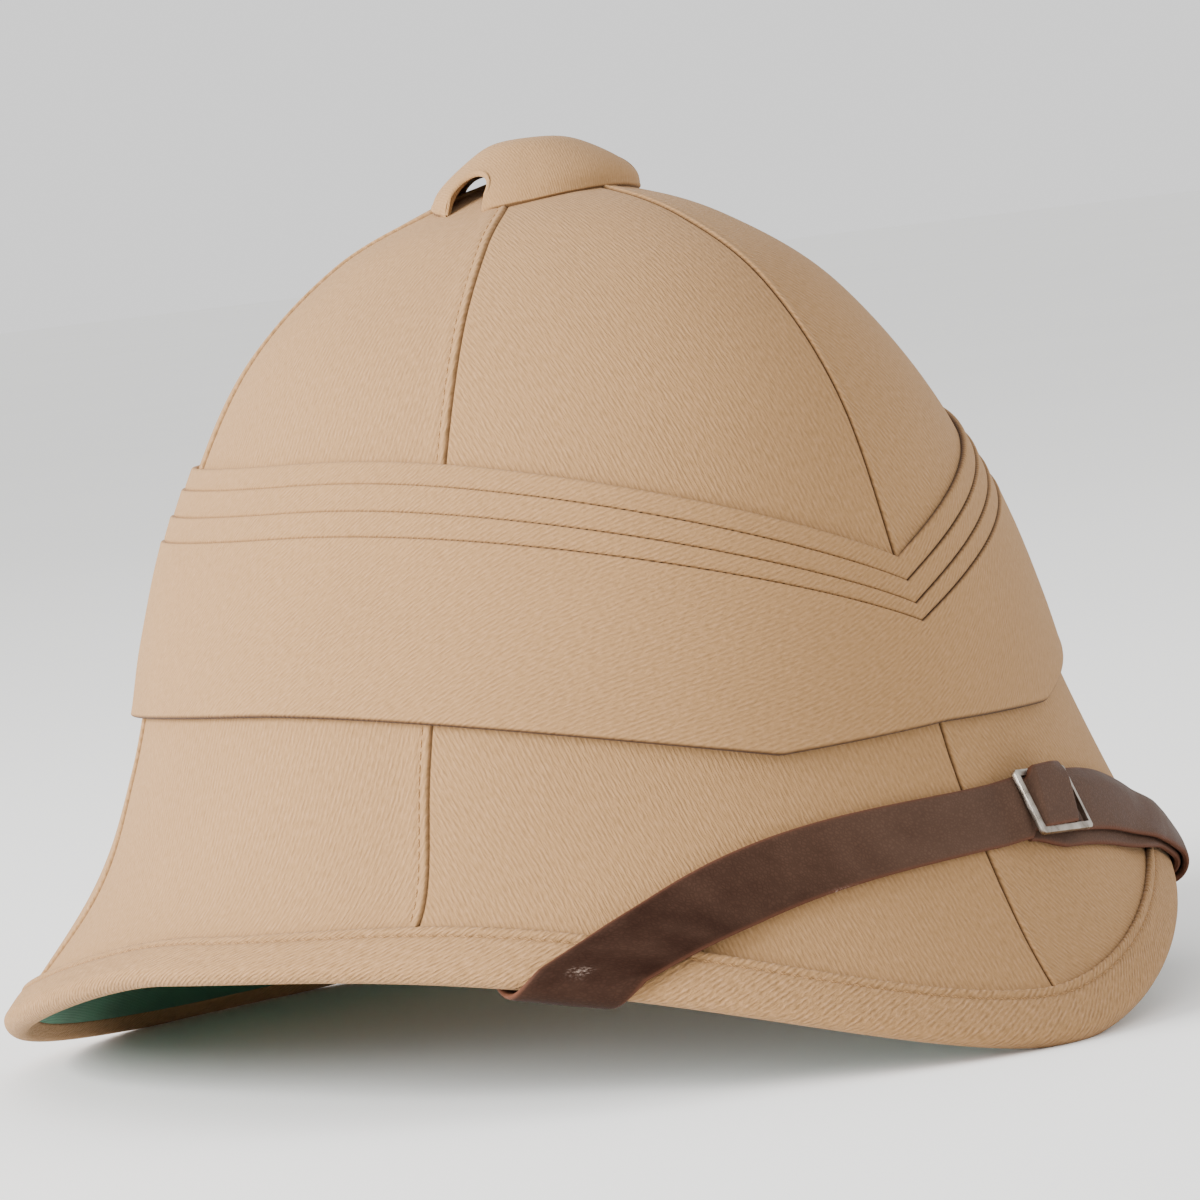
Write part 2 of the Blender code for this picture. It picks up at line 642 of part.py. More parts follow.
def buckle_frame():
    """Place of the buckle: flat on the strap where it passes under both end bars."""
    half = BUCKLE_LENGTH / 2 - BUCKLE_BAR / 2
    half_angle = half / degree_length(BUCKLE_ANGLE)
    ends = []
    for angle in (-BUCKLE_ANGLE - half_angle, -BUCKLE_ANGLE + half_angle):
        ends.append(Vector(wrap_point(angle, strap_along(angle), strap_lift(angle) + STRAP_THICKNESS)))
    along = (ends[1] - ends[0]).normalized()
    centre = strap_along(BUCKLE_ANGLE)
    low = Vector(wrap_point(-BUCKLE_ANGLE, centre - STRAP_WIDTH / 2, 0.0))
    high = Vector(wrap_point(-BUCKLE_ANGLE, centre + STRAP_WIDTH / 2, 0.0))
    across = high - low
    across = (across - along * across.dot(along)).normalized()
    normal = along.cross(across).normalized()
    lifted = Vector(wrap_point(-BUCKLE_ANGLE, centre, STRAP_WIDTH))
    if normal.dot(lifted - Vector(wrap_point(-BUCKLE_ANGLE, centre, 0.0))) < 0:
        normal = -normal
    middle = (ends[0] + ends[1]) / 2 + normal * (BUCKLE_BAR / 2 + STRAP_LAYER_GAP)
    return middle, along, across, normal


def build_slide_buckle(finish):
    """A flat frame of round-edged bar with a centre bar that the strap passes over."""
    middle, along, across, normal = buckle_frame()
    half_long = BUCKLE_LENGTH / 2 - BUCKLE_BAR / 2
    half_across = STRAP_WIDTH / 2 + BUCKLE_SIDE_CLEARANCE + BUCKLE_BAR / 2
    route = []
    for sx, sy, start in ((1, 1, 0), (-1, 1, 90), (-1, -1, 180), (1, -1, 270)):
        for k in range(4):
            turn = math.radians(start + 90 * k / 3)
            route.append((sx * (half_long - BUCKLE_CORNER) + BUCKLE_CORNER * math.cos(turn),
                          sy * (half_across - BUCKLE_CORNER) + BUCKLE_CORNER * math.sin(turn)))
    body = bmesh.new()
    loops = []
    count = len(route)
    for k, (a, b) in enumerate(route):
        before, after = route[k - 1], route[(k + 1) % count]
        heading = Vector((after[0] - before[0], after[1] - before[1])).normalized()
        outward = Vector((heading.y, -heading.x))
        loop = []
        for j in range(8):
            turn = math.tau * (j + 0.5) / 8
            radius = BUCKLE_BAR / 2
            flat = Vector((a, b)) + outward * (radius * math.cos(turn))
            loop.append(body.verts.new(middle + along * flat.x + across * flat.y + normal * (radius * math.sin(turn))))
        loops.append(loop)
    for k in range(count):
        bridge(body, loops[k], loops[(k + 1) % count])
    frame = add_object("slide_buckle", body, finish)
    bar = bmesh.new()
    turn = across.to_track_quat("Z", "Y").to_matrix().to_4x4()
    bmesh.ops.create_cone(bar, cap_ends=True, segments=8, radius1=BUCKLE_BAR * 0.4, radius2=BUCKLE_BAR * 0.4,
                          depth=2 * half_across, matrix=Matrix.Translation(middle) @ turn)
    made = add_object("centre_bar", bar, None)
    made.hide_render = True
    made.display_type = "WIRE"
    join = frame.modifiers.new("centre bar", "BOOLEAN")
    join.operation = "UNION"
    join.solver = "EXACT"
    join.object = made
    return frame


def tail_shift(angle):
    """How far the tail shows below the upper layer: not at its end by the buckle, then fully."""
    return TAIL_SHIFT * float(smooth_step((-angle - TAIL_START_ANGLE) / TAIL_SHIFT_ANGLE))


def stud_end_angle(past):
    """Angle of the strap's end, past the stud by a length."""
    return STUD_ANGLE + past / degree_length(STUD_ANGLE)


def main():
    for old in list(bpy.data.objects):
        bpy.data.objects.remove(old, do_unlink=True)
    settle_on_surface()
    khaki = material("khaki_twill", (0.60, 0.45, 0.30), 0.9)
    green = material("green_lining", (0.03, 0.09, 0.06), 0.85)
    leather = material("strap_leather", (0.06, 0.03, 0.02), 0.6)
    steel = material("buckle_steel", (0.60, 0.60, 0.58), 0.35, 1.0)
    shell = build_helmet_shell(khaki)
    build_pugaree(khaki)
    build_rim_binding(khaki)
    build_brim_lining(green)
    build_ventilator_cap(shell, khaki)
    end = stud_end_angle(STRAP_END)
    strap = build_strap_piece("chin_strap", -end, end, strap_lift, lambda angle: 0.0, leather)
    tail = build_strap_piece("strap_tail", -end, -TAIL_START_ANGLE, lambda angle: STRAP_GAP,
                             tail_shift, leather, 3)
    cut_stud_hole(strap, 1)
    cut_stud_hole(strap, -1)
    cut_stud_hole(tail, -1)
    build_slide_buckle(steel)
    build_stud("strap_stud_right", 1, STRAP_GAP, steel)
    build_stud("strap_stud_left", -1, STRAP_GAP + STRAP_SECOND_LAYER, steel)


main()
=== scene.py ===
"""Dresses a packed pith helmet: twill panels with lapped seams, a wound pugaree, a bound rim, a
green brim lining, a ventilator cap, a leather chin strap with its buckle, and a plain studio."""
import math
from functools import partial

import bmesh
import bpy
import numpy as np
from bpy.props import FloatProperty, FloatVectorProperty, PointerProperty
from mathutils import Matrix, Vector
from mathutils.bvhtree import BVHTree


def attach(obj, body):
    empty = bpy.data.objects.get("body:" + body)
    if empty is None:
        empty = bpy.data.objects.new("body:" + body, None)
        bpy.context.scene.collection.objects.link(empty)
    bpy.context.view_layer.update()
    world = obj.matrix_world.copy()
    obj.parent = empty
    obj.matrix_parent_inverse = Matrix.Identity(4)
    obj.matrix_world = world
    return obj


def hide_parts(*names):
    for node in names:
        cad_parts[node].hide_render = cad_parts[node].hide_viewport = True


bl_info = {
    "name": "Pith Helmet Dressing",
    "version": (1, 0, 0),
    "blender": (4, 5, 0),
    "location": "3D View > Sidebar > Helmet",
    "description": "Dresses a packed pith helmet in twill, lining, leather and steel",
    "category": "Object",
}

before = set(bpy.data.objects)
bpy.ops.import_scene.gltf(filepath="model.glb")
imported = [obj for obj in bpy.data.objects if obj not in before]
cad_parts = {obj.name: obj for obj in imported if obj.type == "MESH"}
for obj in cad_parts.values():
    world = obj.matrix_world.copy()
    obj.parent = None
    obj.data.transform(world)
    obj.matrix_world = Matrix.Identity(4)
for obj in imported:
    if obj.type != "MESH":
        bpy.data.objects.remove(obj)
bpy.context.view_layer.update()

# The form of the crown and brim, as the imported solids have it
HELMET_LENGTH = 0.337
HELMET_WIDTH = 0.282
CROWN_HEIGHT = 0.2155
SECTIONS = (
    # front reach, front height, side reach, side height, back reach, back height
    (0.030, 1.000, 0.000, 1.000, -0.030, 1.000),
    (0.215, 0.978, 0.170, 0.970, -0.115, 0.986),
    (0.374, 0.935, 0.312, 0.923, -0.332, 0.914),
    (0.534, 0.852, 0.489, 0.817, -0.493, 0.803),
    (0.665, 0.708, 0.652, 0.652, -0.579, 0.654),
    (0.745, 0.503, 0.748, 0.503, -0.629, 0.503),
    (0.801, 0.306, 0.830, 0.371, -0.662, 0.353),
    (0.898, 0.125, 0.909, 0.239, -0.757, 0.216),
    (1.000, 0.000, 1.000, 0.161, -1.000, 0.000),
)
PLAN_POWER_FRONT = 1.70
PLAN_POWER_BACK = 2.14
RIM_DIP_FRONT = 3.7
RIM_SIDE_SOFTNESS = 0.02
RIM_REST_FLAT = 0.0007

SHELL_WALL = 0.0040
CLOTH_GAP = 0.0006
BINDING_THICKNESS = 0.0010
BINDING_WIDTH_OUTSIDE = 0.0140
BINDING_WIDTH_INSIDE = 0.0085
LINING_THICKNESS = 0.0010
LINING_WIDTH = 0.0620

PUGAREE_LAYER = 0.0010
PUGAREE_GAP = 0.0007
PUGAREE_LINES = (
    # height at the front, height at the side, height at the back, layers over the shell
    (0.537, 0.712, 0.712, 1.0),
    (0.509, 0.687, 0.687, 1.6),
    (0.483, 0.657, 0.655, 2.2),
    (0.463, 0.629, 0.626, 2.8),
)
PUGAREE_FOOT_FRONT = 0.352
PUGAREE_FOOT_KINK = 0.345
PUGAREE_FOOT_SIDE = 0.440
PUGAREE_FOOT_BACK = 0.400
PUGAREE_KINK_ANGLE = 24.0
PUGAREE_V_POWER = 1.18
PUGAREE_BAND_LAYERS = 2.4

CAP_RADIUS = 0.0262
CAP_HEIGHT = 0.0157
CAP_CENTRE_FORWARD = 0.0085
CAP_WALL = 0.0020
CAP_DOME_POWER = 1.0
CAP_DOME_FLATNESS = 0.6
CAP_ARCH_WIDTH = 0.0135
CAP_ARCH_HEIGHT = 0.0080
CAP_ARCH_ANGLES = (86.0, 190.0, 294.0)

STRAP_WIDTH = 0.0158
STRAP_THICKNESS = 0.0018
STRAP_GAP = 0.0007
STRAP_LAYER_GAP = 0.0004
STRAP_FRONT_REACH = 0.0605
STRAP_RIM_ANGLE = 49.0
STUD_ANGLE = 80.0
STUD_REACH = 0.0480
STRAP_END = 0.0080
TAIL_START_ANGLE = 9.2
TAIL_SHIFT = 0.0030
TAIL_SHIFT_ANGLE = 8.0
TAIL_RISE_LEAD = 5.5
TAIL_RISE_ANGLE = 4.5
BINDING_STEP_START = 0.0010
BINDING_STEP_RUN = 0.0120
STRAP_TURN_REACH = 0.0100
STRAP_TURN_RUN = 0.0250
BUCKLE_ANGLE = 13.0
BUCKLE_LENGTH = 0.0217
BUCKLE_BAR = 0.0016
BUCKLE_OUTER_WIDTH = 0.0172
BUCKLE_SIDE_BAR = 0.0018
BUCKLE_FAR_BAR = 0.0010
BUCKLE_LEAN = 5.0
BUCKLE_TURN = -2.5
ARCH_SHARE = 1.07
ARCH_STEEPNESS = 3.0
BULGE_OVER_BAR = 0.0011
UPPER_EDGE_DROOP = 0.0018
STUD_HEAD_RADIUS = 0.0045
STUD_HEAD_HEIGHT = 0.0016
STUD_SHANK_RADIUS = 0.0015

HALF_LENGTH = HELMET_LENGTH / 2
HALF_WIDTH = HELMET_WIDTH / 2
BINDING_OUTER = CLOTH_GAP + BINDING_THICKNESS
LINING_OUTER = CLOTH_GAP + LINING_THICKNESS
EDGE_RADIUS = (SHELL_WALL + 2 * BINDING_OUTER) / 2
EDGE_CENTRE = BINDING_OUTER - EDGE_RADIUS
EDGE_QUARTER = math.pi * EDGE_RADIUS / 2
STRAP_SECOND_LAYER = STRAP_THICKNESS + STRAP_LAYER_GAP
STRAP_RIM_SLOPE = 2 * STRAP_FRONT_REACH / STRAP_RIM_ANGLE
BUCKLE_ARCH = STRAP_THICKNESS + 0.8 * BUCKLE_BAR
SECTION_TABLE = np.array(SECTIONS)
MM = 0.001

# Seams between the six cloth panels: angle from the front at the rim and at the crown's top, and
# the side that laps over the other, +1 for the side with the larger angle, and how dark its
# painted shade line is
SEAMS = (
    (-180.0, -180.0, 1, 0.5),
    (-120.5, -124.0, -1, 0.5),
    (-63.0, -60.0, -1, 0.45),
    (0.0, 0.0, -1, 1.0),
    (63.0, 60.0, 1, 0.45),
    (120.5, 124.0, 1, 0.5),
)
# Lift of a lapped seam over its folded side and its flat side, by distance from the seam, in mm
LAP_SIDE = ((0.0, -0.28), (0.15, 0.15), (0.35, 0.50), (0.7, 0.68), (1.2, 0.60), (1.8, 0.42),
            (2.4, 0.26), (3.0, 0.38), (4.4, 0.32), (6.6, 0.0))
FLAT_SIDE = ((0.0, -0.28), (0.15, -0.24), (0.35, -0.08), (0.7, 0.0))
SEAM_COLUMNS = (0.15, 0.35, 0.7, 1.2, 1.8, 2.4, 3.0, 4.4, 6.6)
STITCH_LINE = 0.0024
CREASE_WIDTH = 0.0003
# The panels' net: first and last share of the way up, rows, columns between seams, inner rows
PANEL_SHARES = (0.008, 0.985)
PANEL_ROWS = 150
PANEL_COLUMNS = 42
INNER_ROWS = 26
# Height of the panels' faint waves, and a mean radius that turns angles into lengths for them
PANEL_WAVE = 0.00012
CROWN_RADIUS = 0.12
PUGAREE_COLUMNS = 520
BINDING_COLUMNS = 1240
BINDING_TURN_ROWS = 15
LINING_COLUMNS = 480
LINING_ROWS = 30
# The lining's waves, how far its edges are tucked up, and the brim's mean radius for the waves
LINING_WAVE = 0.00025
LINING_TUCK = 0.00025
BRIM_RADIUS = 0.13
# Turn of each panel's cloth in degrees, from the seam at the back round to it again
PANEL_GRAIN = (24.0, -22.0, 0.0, 0.0, -22.0, 24.0)

SETTLE = {"rise": 0.0, "slope": 0.0}


def linear(code):
    """Linear red, green and blue of an sRGB colour written in hex."""
    parts = [int(code[k:k + 2], 16) / 255 for k in (1, 3, 5)]
    return tuple(p / 12.92 if p <= 0.04045 else ((p + 0.055) / 1.055) ** 2.4 for p in parts)


def smooth_step(value):
    """0 below 0, 1 above 1 and a soft rise between."""
    value = np.clip(value, 0.0, 1.0)
    return value * value * (3 - 2 * value)


def arc_length(line):
    """Distance travelled along a line of points, at each of them."""
    return np.concatenate([[0.0], np.cumsum(np.linalg.norm(np.diff(line, axis=0), axis=1))])


def girth(ring):
    """Distance travelled round a closed ring of points, at each of them and back at the first."""
    return arc_length(np.vstack([ring, ring[:1]]))


def round_angles(columns):
    """Angles of a closed ring's columns, in degrees from the front."""
    return -180 + 360 * np.arange(columns) / columns

# ---- The skin of the helmet ---------------------------------------------------------------------

def section_rows(level):
    """The section table read between its rows by a smooth curve, for an array of levels."""
    last = len(SECTION_TABLE) - 1
    first = np.clip(np.floor(level).astype(int), 0, last - 1)
    part = (level - first)[:, None]
    mirrored = SECTION_TABLE[1].copy()
    mirrored[0] = -SECTION_TABLE[1, 4]
    mirrored[2] = -SECTION_TABLE[1, 2]
    mirrored[4] = -SECTION_TABLE[1, 0]
    mirrored[[1, 5]] = mirrored[[5, 1]]
    beyond = 2 * SECTION_TABLE[last] - SECTION_TABLE[last - 1]
    padded = np.vstack([mirrored, SECTION_TABLE, beyond])
    a, b, c, d = (padded[first + step] for step in range(4))
    return 0.5 * (2 * b + (c - a) * part + (2 * a - 5 * b + 4 * c - d) * part ** 2
                  + (3 * b - a - 3 * c + d) * part ** 3)


def skin_at_level(level, angle):
    """Points of the outer skin at an array of levels, at one angle in degrees from the front."""
    rows = section_rows(level)
    cosine = math.cos(math.radians(angle))
    sine = math.sin(math.radians(angle))
    front = cosine >= 0
    blend = (level / (len(SECTION_TABLE) - 1)) ** 2
    power = 2 + ((PLAN_POWER_FRONT if front else PLAN_POWER_BACK) - 2) * blend
    middle = HALF_LENGTH * (rows[:, 0] + rows[:, 4]) / 2
    half = HALF_LENGTH * (rows[:, 0] - rows[:, 4]) / 2
    forward = middle + half * math.copysign(1, cosine) * abs(cosine) ** (2 / power)
    aside = HALF_WIDTH * rows[:, 2] * math.copysign(1, sine) * abs(sine) ** (2 / power)
    if front:
        rim_dip = abs(cosine) ** RIM_DIP_FRONT
    else:
        soft = math.sqrt(RIM_SIDE_SOFTNESS)
        rim_dip = ((math.sqrt(cosine ** 2 + RIM_SIDE_SOFTNESS) - soft)
                   / (math.sqrt(1 + RIM_SIDE_SOFTNESS) - soft))
    dip = (1 - blend) * cosine ** 2 + blend * rim_dip
    end_height = rows[:, 1] if front else rows[:, 5]
    height = CROWN_HEIGHT * (rows[:, 3] * (1 - dip) + end_height * dip)
    return np.stack([-aside, -forward, height + SETTLE["rise"] - SETTLE["slope"] * forward], axis=1)


class Skin:
    """The outer skin as a fine net, read by angle, distance up from the rim and lift off it."""
    TURN = 0.5
    STEP = 0.0005
    SAMPLES = 241
    LONGEST = 0.36

    def __init__(self, angles=None):
        whole_turn = np.arange(-180, 180 + self.TURN / 2, self.TURN)
        self.angles = whole_turn if angles is None else np.array(angles)
        wanted = np.arange(0, self.LONGEST, self.STEP)
        self.points = np.zeros((len(self.angles), len(wanted), 3))
        self.normals = np.zeros_like(self.points)
        self.starts = np.zeros((len(self.angles), 3))
        self.totals = np.zeros(len(self.angles))
        level = np.linspace(len(SECTION_TABLE) - 1, 0.02, self.SAMPLES)
        for n, angle in enumerate(self.angles):
            line = skin_at_level(level, angle)
            beside = skin_at_level(level, angle + 0.5) - skin_at_level(level, angle - 0.5)
            along = np.gradient(line, axis=0)
            normal = np.cross(beside, along)
            normal /= np.linalg.norm(normal, axis=1)[:, None]
            half = self.SAMPLES // 2
            if normal[half, :2] @ line[half, :2] < 0:
                normal = -normal
            reach = arc_length(line)
            for k in range(3):
                self.points[n, :, k] = np.interp(wanted, reach, line[:, k])
                self.normals[n, :, k] = np.interp(wanted, reach, normal[:, k])
            self.starts[n] = along[0] / np.linalg.norm(along[0])
            self.totals[n] = reach[-1]

    def places(self, angle):
        """The column of the net below each angle, and the share of the way to the next."""
        turn = np.mod(np.asarray(angle, float) + 180, 360) / self.TURN
        first = np.minimum(np.floor(turn).astype(int), len(self.angles) - 2)
        return first, turn - first

    def total(self, angle):
        """Distance from the rim to the crown's top at an angle."""
        first, part = self.places(angle)
        return self.totals[first] * (1 - part) + self.totals[first + 1] * part

    def at(self, angle, reach, lift):
        """Points at angles, distances up from the rim, and lifts off the skin, negative inward."""
        angle, reach, lift = np.broadcast_arrays(np.asarray(angle, float), np.asarray(reach, float),
                                                 np.asarray(lift, float))
        first, part = self.places(angle)
        row = np.clip(reach, 0, None) / self.STEP
        low = np.minimum(np.floor(row).astype(int), self.points.shape[1] - 2)
        up = np.minimum(row - low, 1.0)[..., None]
        part = part[..., None]

        def mixed(net):
            near = net[first, low] * (1 - up) + net[first, low + 1] * up
            far = net[first + 1, low] * (1 - up) + net[first + 1, low + 1] * up
            return near * (1 - part) + far * part

        normal = mixed(self.normals)
        normal /= np.linalg.norm(normal, axis=-1)[..., None]
        start = self.starts[first] * (1 - part) + self.starts[first + 1] * part
        past_rim = start * np.minimum(reach, 0)[..., None]
        return mixed(self.points) + past_rim + lift[..., None] * normal

    def reach_at_height(self, angle, height):
        """Distance up from the rim where the skin has each height, for arrays of equal length."""
        first, part = self.places(angle)
        wanted = np.arange(self.points.shape[1]) * self.STEP
        found = []
        for f, p, h in zip(np.atleast_1d(first), np.atleast_1d(part), np.atleast_1d(height)):
            line = self.points[f, :, 2] * (1 - p) + self.points[f + 1, :, 2] * p
            found.append(np.interp(h, line, wanted))
        return np.array(found)

    def degree(self, angle, reach):
        """Length of one degree round the helmet at an angle and reach."""
        ends = [self.at(np.add(angle, half), reach, 0) for half in (0.5, -0.5)]
        return np.linalg.norm(ends[0] - ends[1], axis=-1)


def edge_points(skin, angle, turn, radius):
    """Points round the rim's edge. Turn runs from 0 outside to pi inside."""
    return skin.at(angle, EDGE_RADIUS - radius * np.sin(turn), EDGE_CENTRE + radius * np.cos(turn))


def settled_skin():
    """The skin, set down so that the bound edge is pressed a little at the front and back."""
    lowest = []
    turns = np.linspace(0, math.pi, 37)
    for angle in (0.0, 180.0):
        ends = Skin([angle - 0.5, angle])
        ends.places = lambda a: (np.zeros(np.shape(a), int), np.ones(np.shape(a)))
        lowest.append(edge_points(ends, np.full(37, angle), turns, EDGE_RADIUS)[:, 2].min())
    SETTLE["rise"] = -(lowest[0] + lowest[1]) / 2 - RIM_REST_FLAT
    SETTLE["slope"] = (lowest[0] - lowest[1]) / HELMET_LENGTH
    return Skin()


SKIN = settled_skin()


def ripple(u, v, seed, lengths):
    """A soft uneven wave between -1 and 1 over two arrays of lengths in metres."""
    rng = np.random.default_rng(seed)
    total = np.zeros(np.broadcast(u, v).shape)
    for length in lengths:
        for _ in range(3):
            heading = rng.uniform(0, math.tau)
            phase = rng.uniform(0, math.tau)
            way = u * math.cos(heading) + v * math.sin(heading)
            total = total + np.sin(way * math.tau / length + phase)
    return total / (3 * len(lengths))


# ---- Meshes -------------------------------------------------------------------------------------

def deselect():
    """Leave edit mode and select nothing."""
    if bpy.context.object and bpy.context.object.mode != "OBJECT":
        bpy.ops.object.mode_set(mode="OBJECT")
    bpy.ops.object.select_all(action="DESELECT")


def select_only(*pieces):
    """Select pieces and nothing else, with the first one active."""
    deselect()
    for piece in pieces:
        piece.select_set(True)
    bpy.context.view_layer.objects.active = pieces[0]


def edit_all(piece):
    """Go into edit mode on one piece with all of it selected."""
    select_only(piece)
    bpy.ops.object.mode_set(mode="EDIT")
    bpy.ops.mesh.select_all(action="SELECT")


def extrude(*move):
    """Extrude the selection by a vector."""
    bpy.ops.mesh.extrude_region_move(TRANSFORM_OT_translate={"value": move})


def turn_faces_out():
    """Turn all faces of the piece in edit mode outward."""
    bpy.ops.mesh.select_all(action="SELECT")
    bpy.ops.mesh.normals_make_consistent(inside=False)


def add_piece(name, points, faces, materials, uv=None, shades=None, indices=None, sharp=45):
    """A mesh object from points and faces, with UVs in metres and named shade attributes."""
    mesh = bpy.data.meshes.new(name)
    mesh.from_pydata(np.asarray(points).tolist(), [], faces)
    for made in materials:
        mesh.materials.append(made)
    if indices is not None:
        mesh.polygons.foreach_set("material_index", np.asarray(indices, np.int32))
    if uv is not None:
        layer = mesh.uv_layers.new(name="cloth")
        layer.data.foreach_set("uv", np.asarray(uv, np.float32).ravel())
    for key, values in (shades or {}).items():
        attribute = mesh.attributes.new(key, "FLOAT", "POINT")
        attribute.data.foreach_set("value", np.asarray(values, np.float32).ravel())
    mesh.validate()
    mesh.shade_smooth()
    mesh.set_sharp_from_angle(angle=math.radians(sharp))
    made = bpy.data.objects.new(name, mesh)
    bpy.context.scene.collection.objects.link(made)
    return made


def net_faces(rows, columns, close_rows=False):
    """Quads of a net of points whose columns close, row after row."""
    faces = []
    for r in range(rows if close_rows else rows - 1):
        low, high = r * columns, (r + 1) % rows * columns
        for c in range(columns):
            beside = (c + 1) % columns
            faces.append((low + c, low + beside, high + beside, high + c))
    return faces


def net_uv(u_left, u_right, v_left, v_right, close_rows=False):
    """UVs of net_faces, from each face column's own left and right lines."""
    rows = u_left.shape[0]
    low = np.arange(rows if close_rows else rows - 1)
    high = (low + 1) % rows
    corners = [np.stack([u[at], v[at]], -1) for u, v, at in (
        (u_left, v_left, low), (u_right, v_right, low),
        (u_right, v_right, high), (u_left, v_left, high))]
    return np.stack(corners, axis=2).reshape(-1, 2)


def closed_cloth(name, points, finish, u, v, shades=None, sharp=70):
    """A cloth piece from a net of points closed both ways, with UVs from the distance round it and
    from each row's or point's distance up it."""
    shape = points.shape[:2]
    u = np.broadcast_to(u, (shape[0], shape[1] + 1))
    v = np.broadcast_to(v, shape)
    uv = net_uv(u[:, :-1], u[:, 1:], v, np.roll(v, -1, axis=1), close_rows=True)
    return add_piece(name, points.reshape(-1, 3), net_faces(*shape, close_rows=True), [finish], uv,
                     shades, sharp=sharp)


def tube_net(rings, sides, ring_step, side_step):
    """Faces and UVs of stacked rings of points with a flat face at each end. The steps are the
    UV vectors from one ring, and from one side, to the next."""
    ring_step, side_step = np.array(ring_step), np.array(side_step)
    faces, uv = [], []
    for r in range(rings - 1):
        for s in range(sides):
            corners = ((r, s), (r, s + 1), (r + 1, s + 1), (r + 1, s))
            faces.append(tuple(row * sides + side % sides for row, side in corners))
            uv += [row * ring_step + side * side_step for row, side in corners]
    faces += [tuple(range(sides))[::-1], tuple(range((rings - 1) * sides, rings * sides))]
    uv += [side * side_step for side in range(sides)] * 2
    return faces, uv


def name_piece(name):
    """Name the object that an operator has just made, and its mesh."""
    piece = bpy.context.object
    piece.name = name
    piece.data.name = name
    return piece


def finish_piece(piece, slot, *nodes):
    """Rides on the root body and hides the CAD nodes it stands for; the slot is not used."""
    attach(piece, "root")
    if nodes:
        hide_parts(*nodes)


# ---- Materials ----------------------------------------------------------------------------------

# A wave texture's scale for one band a millimetre, and the part of a noise's values that is used
BAND_A_MM = 0.31416
NOISE_RANGE = {"From Min": 0.3, "From Max": 0.7}
# The sewing thread's plies: their slant in radians and their width in mm
PLY_TURN = 0.9
PLY_WIDTH = 0.35


def link(tree, source, socket):
    """Link a socket, or a node's first output, to an input."""
    if isinstance(source, bpy.types.Node):
        source = source.outputs[0]
    tree.links.new(source, socket)


def add_node(tree, kind, settings=None, links=None):
    """A node with its settings, input values and colour stops, linked from other nodes."""
    made = tree.nodes.new("ShaderNode" + kind)
    for key, value in (settings or {}).items():
        if key == "stops":
            elements = made.color_ramp.elements
            while len(elements) < len(value):
                elements.new(0.5)
            for element, (place, shade) in zip(elements, value):
                element.position = place
                element.color = (*shade, 1.0)
        elif isinstance(key, int) or key in made.inputs:
            made.inputs[key].default_value = value
        else:
            setattr(made, key, value)
    for key, source in (links or {}).items():
        link(tree, source, made.inputs[key])
    return made


def start_material(name):
    """A new material and the way to add nodes to it."""
    made = bpy.data.materials.new(name)
    made.use_nodes = True
    return made, partial(add_node, made.node_tree)


def in_millimetres(add, turn=0.0):
    """The piece's own UVs, in millimetres."""
    uv = add("UVMap", {"uv_map": "cloth"})
    return add("Mapping", {"Scale": (1000.0,) * 3, "Rotation": (0.0, 0.0, turn)}, {"Vector": uv})


def end_material(made, tone, rough=None, relief=None, strength=0.0, distance=0.0, **fixed):
    """Link the colour, roughness and relief to the shader and set its values that stay the same."""
    tree = made.node_tree
    inputs = tree.nodes["Principled BSDF"].inputs
    link(tree, tone, inputs["Base Color"])
    if rough:
        link(tree, rough, inputs["Roughness"])
    if relief:
        bump = add_node(tree, "Bump", {"Strength": strength, "Distance": distance},
                        {"Height": relief})
        link(tree, bump, inputs["Normal"])
    for key, value in fixed.items():
        inputs[key.replace("_", " ")].default_value = value
    return made


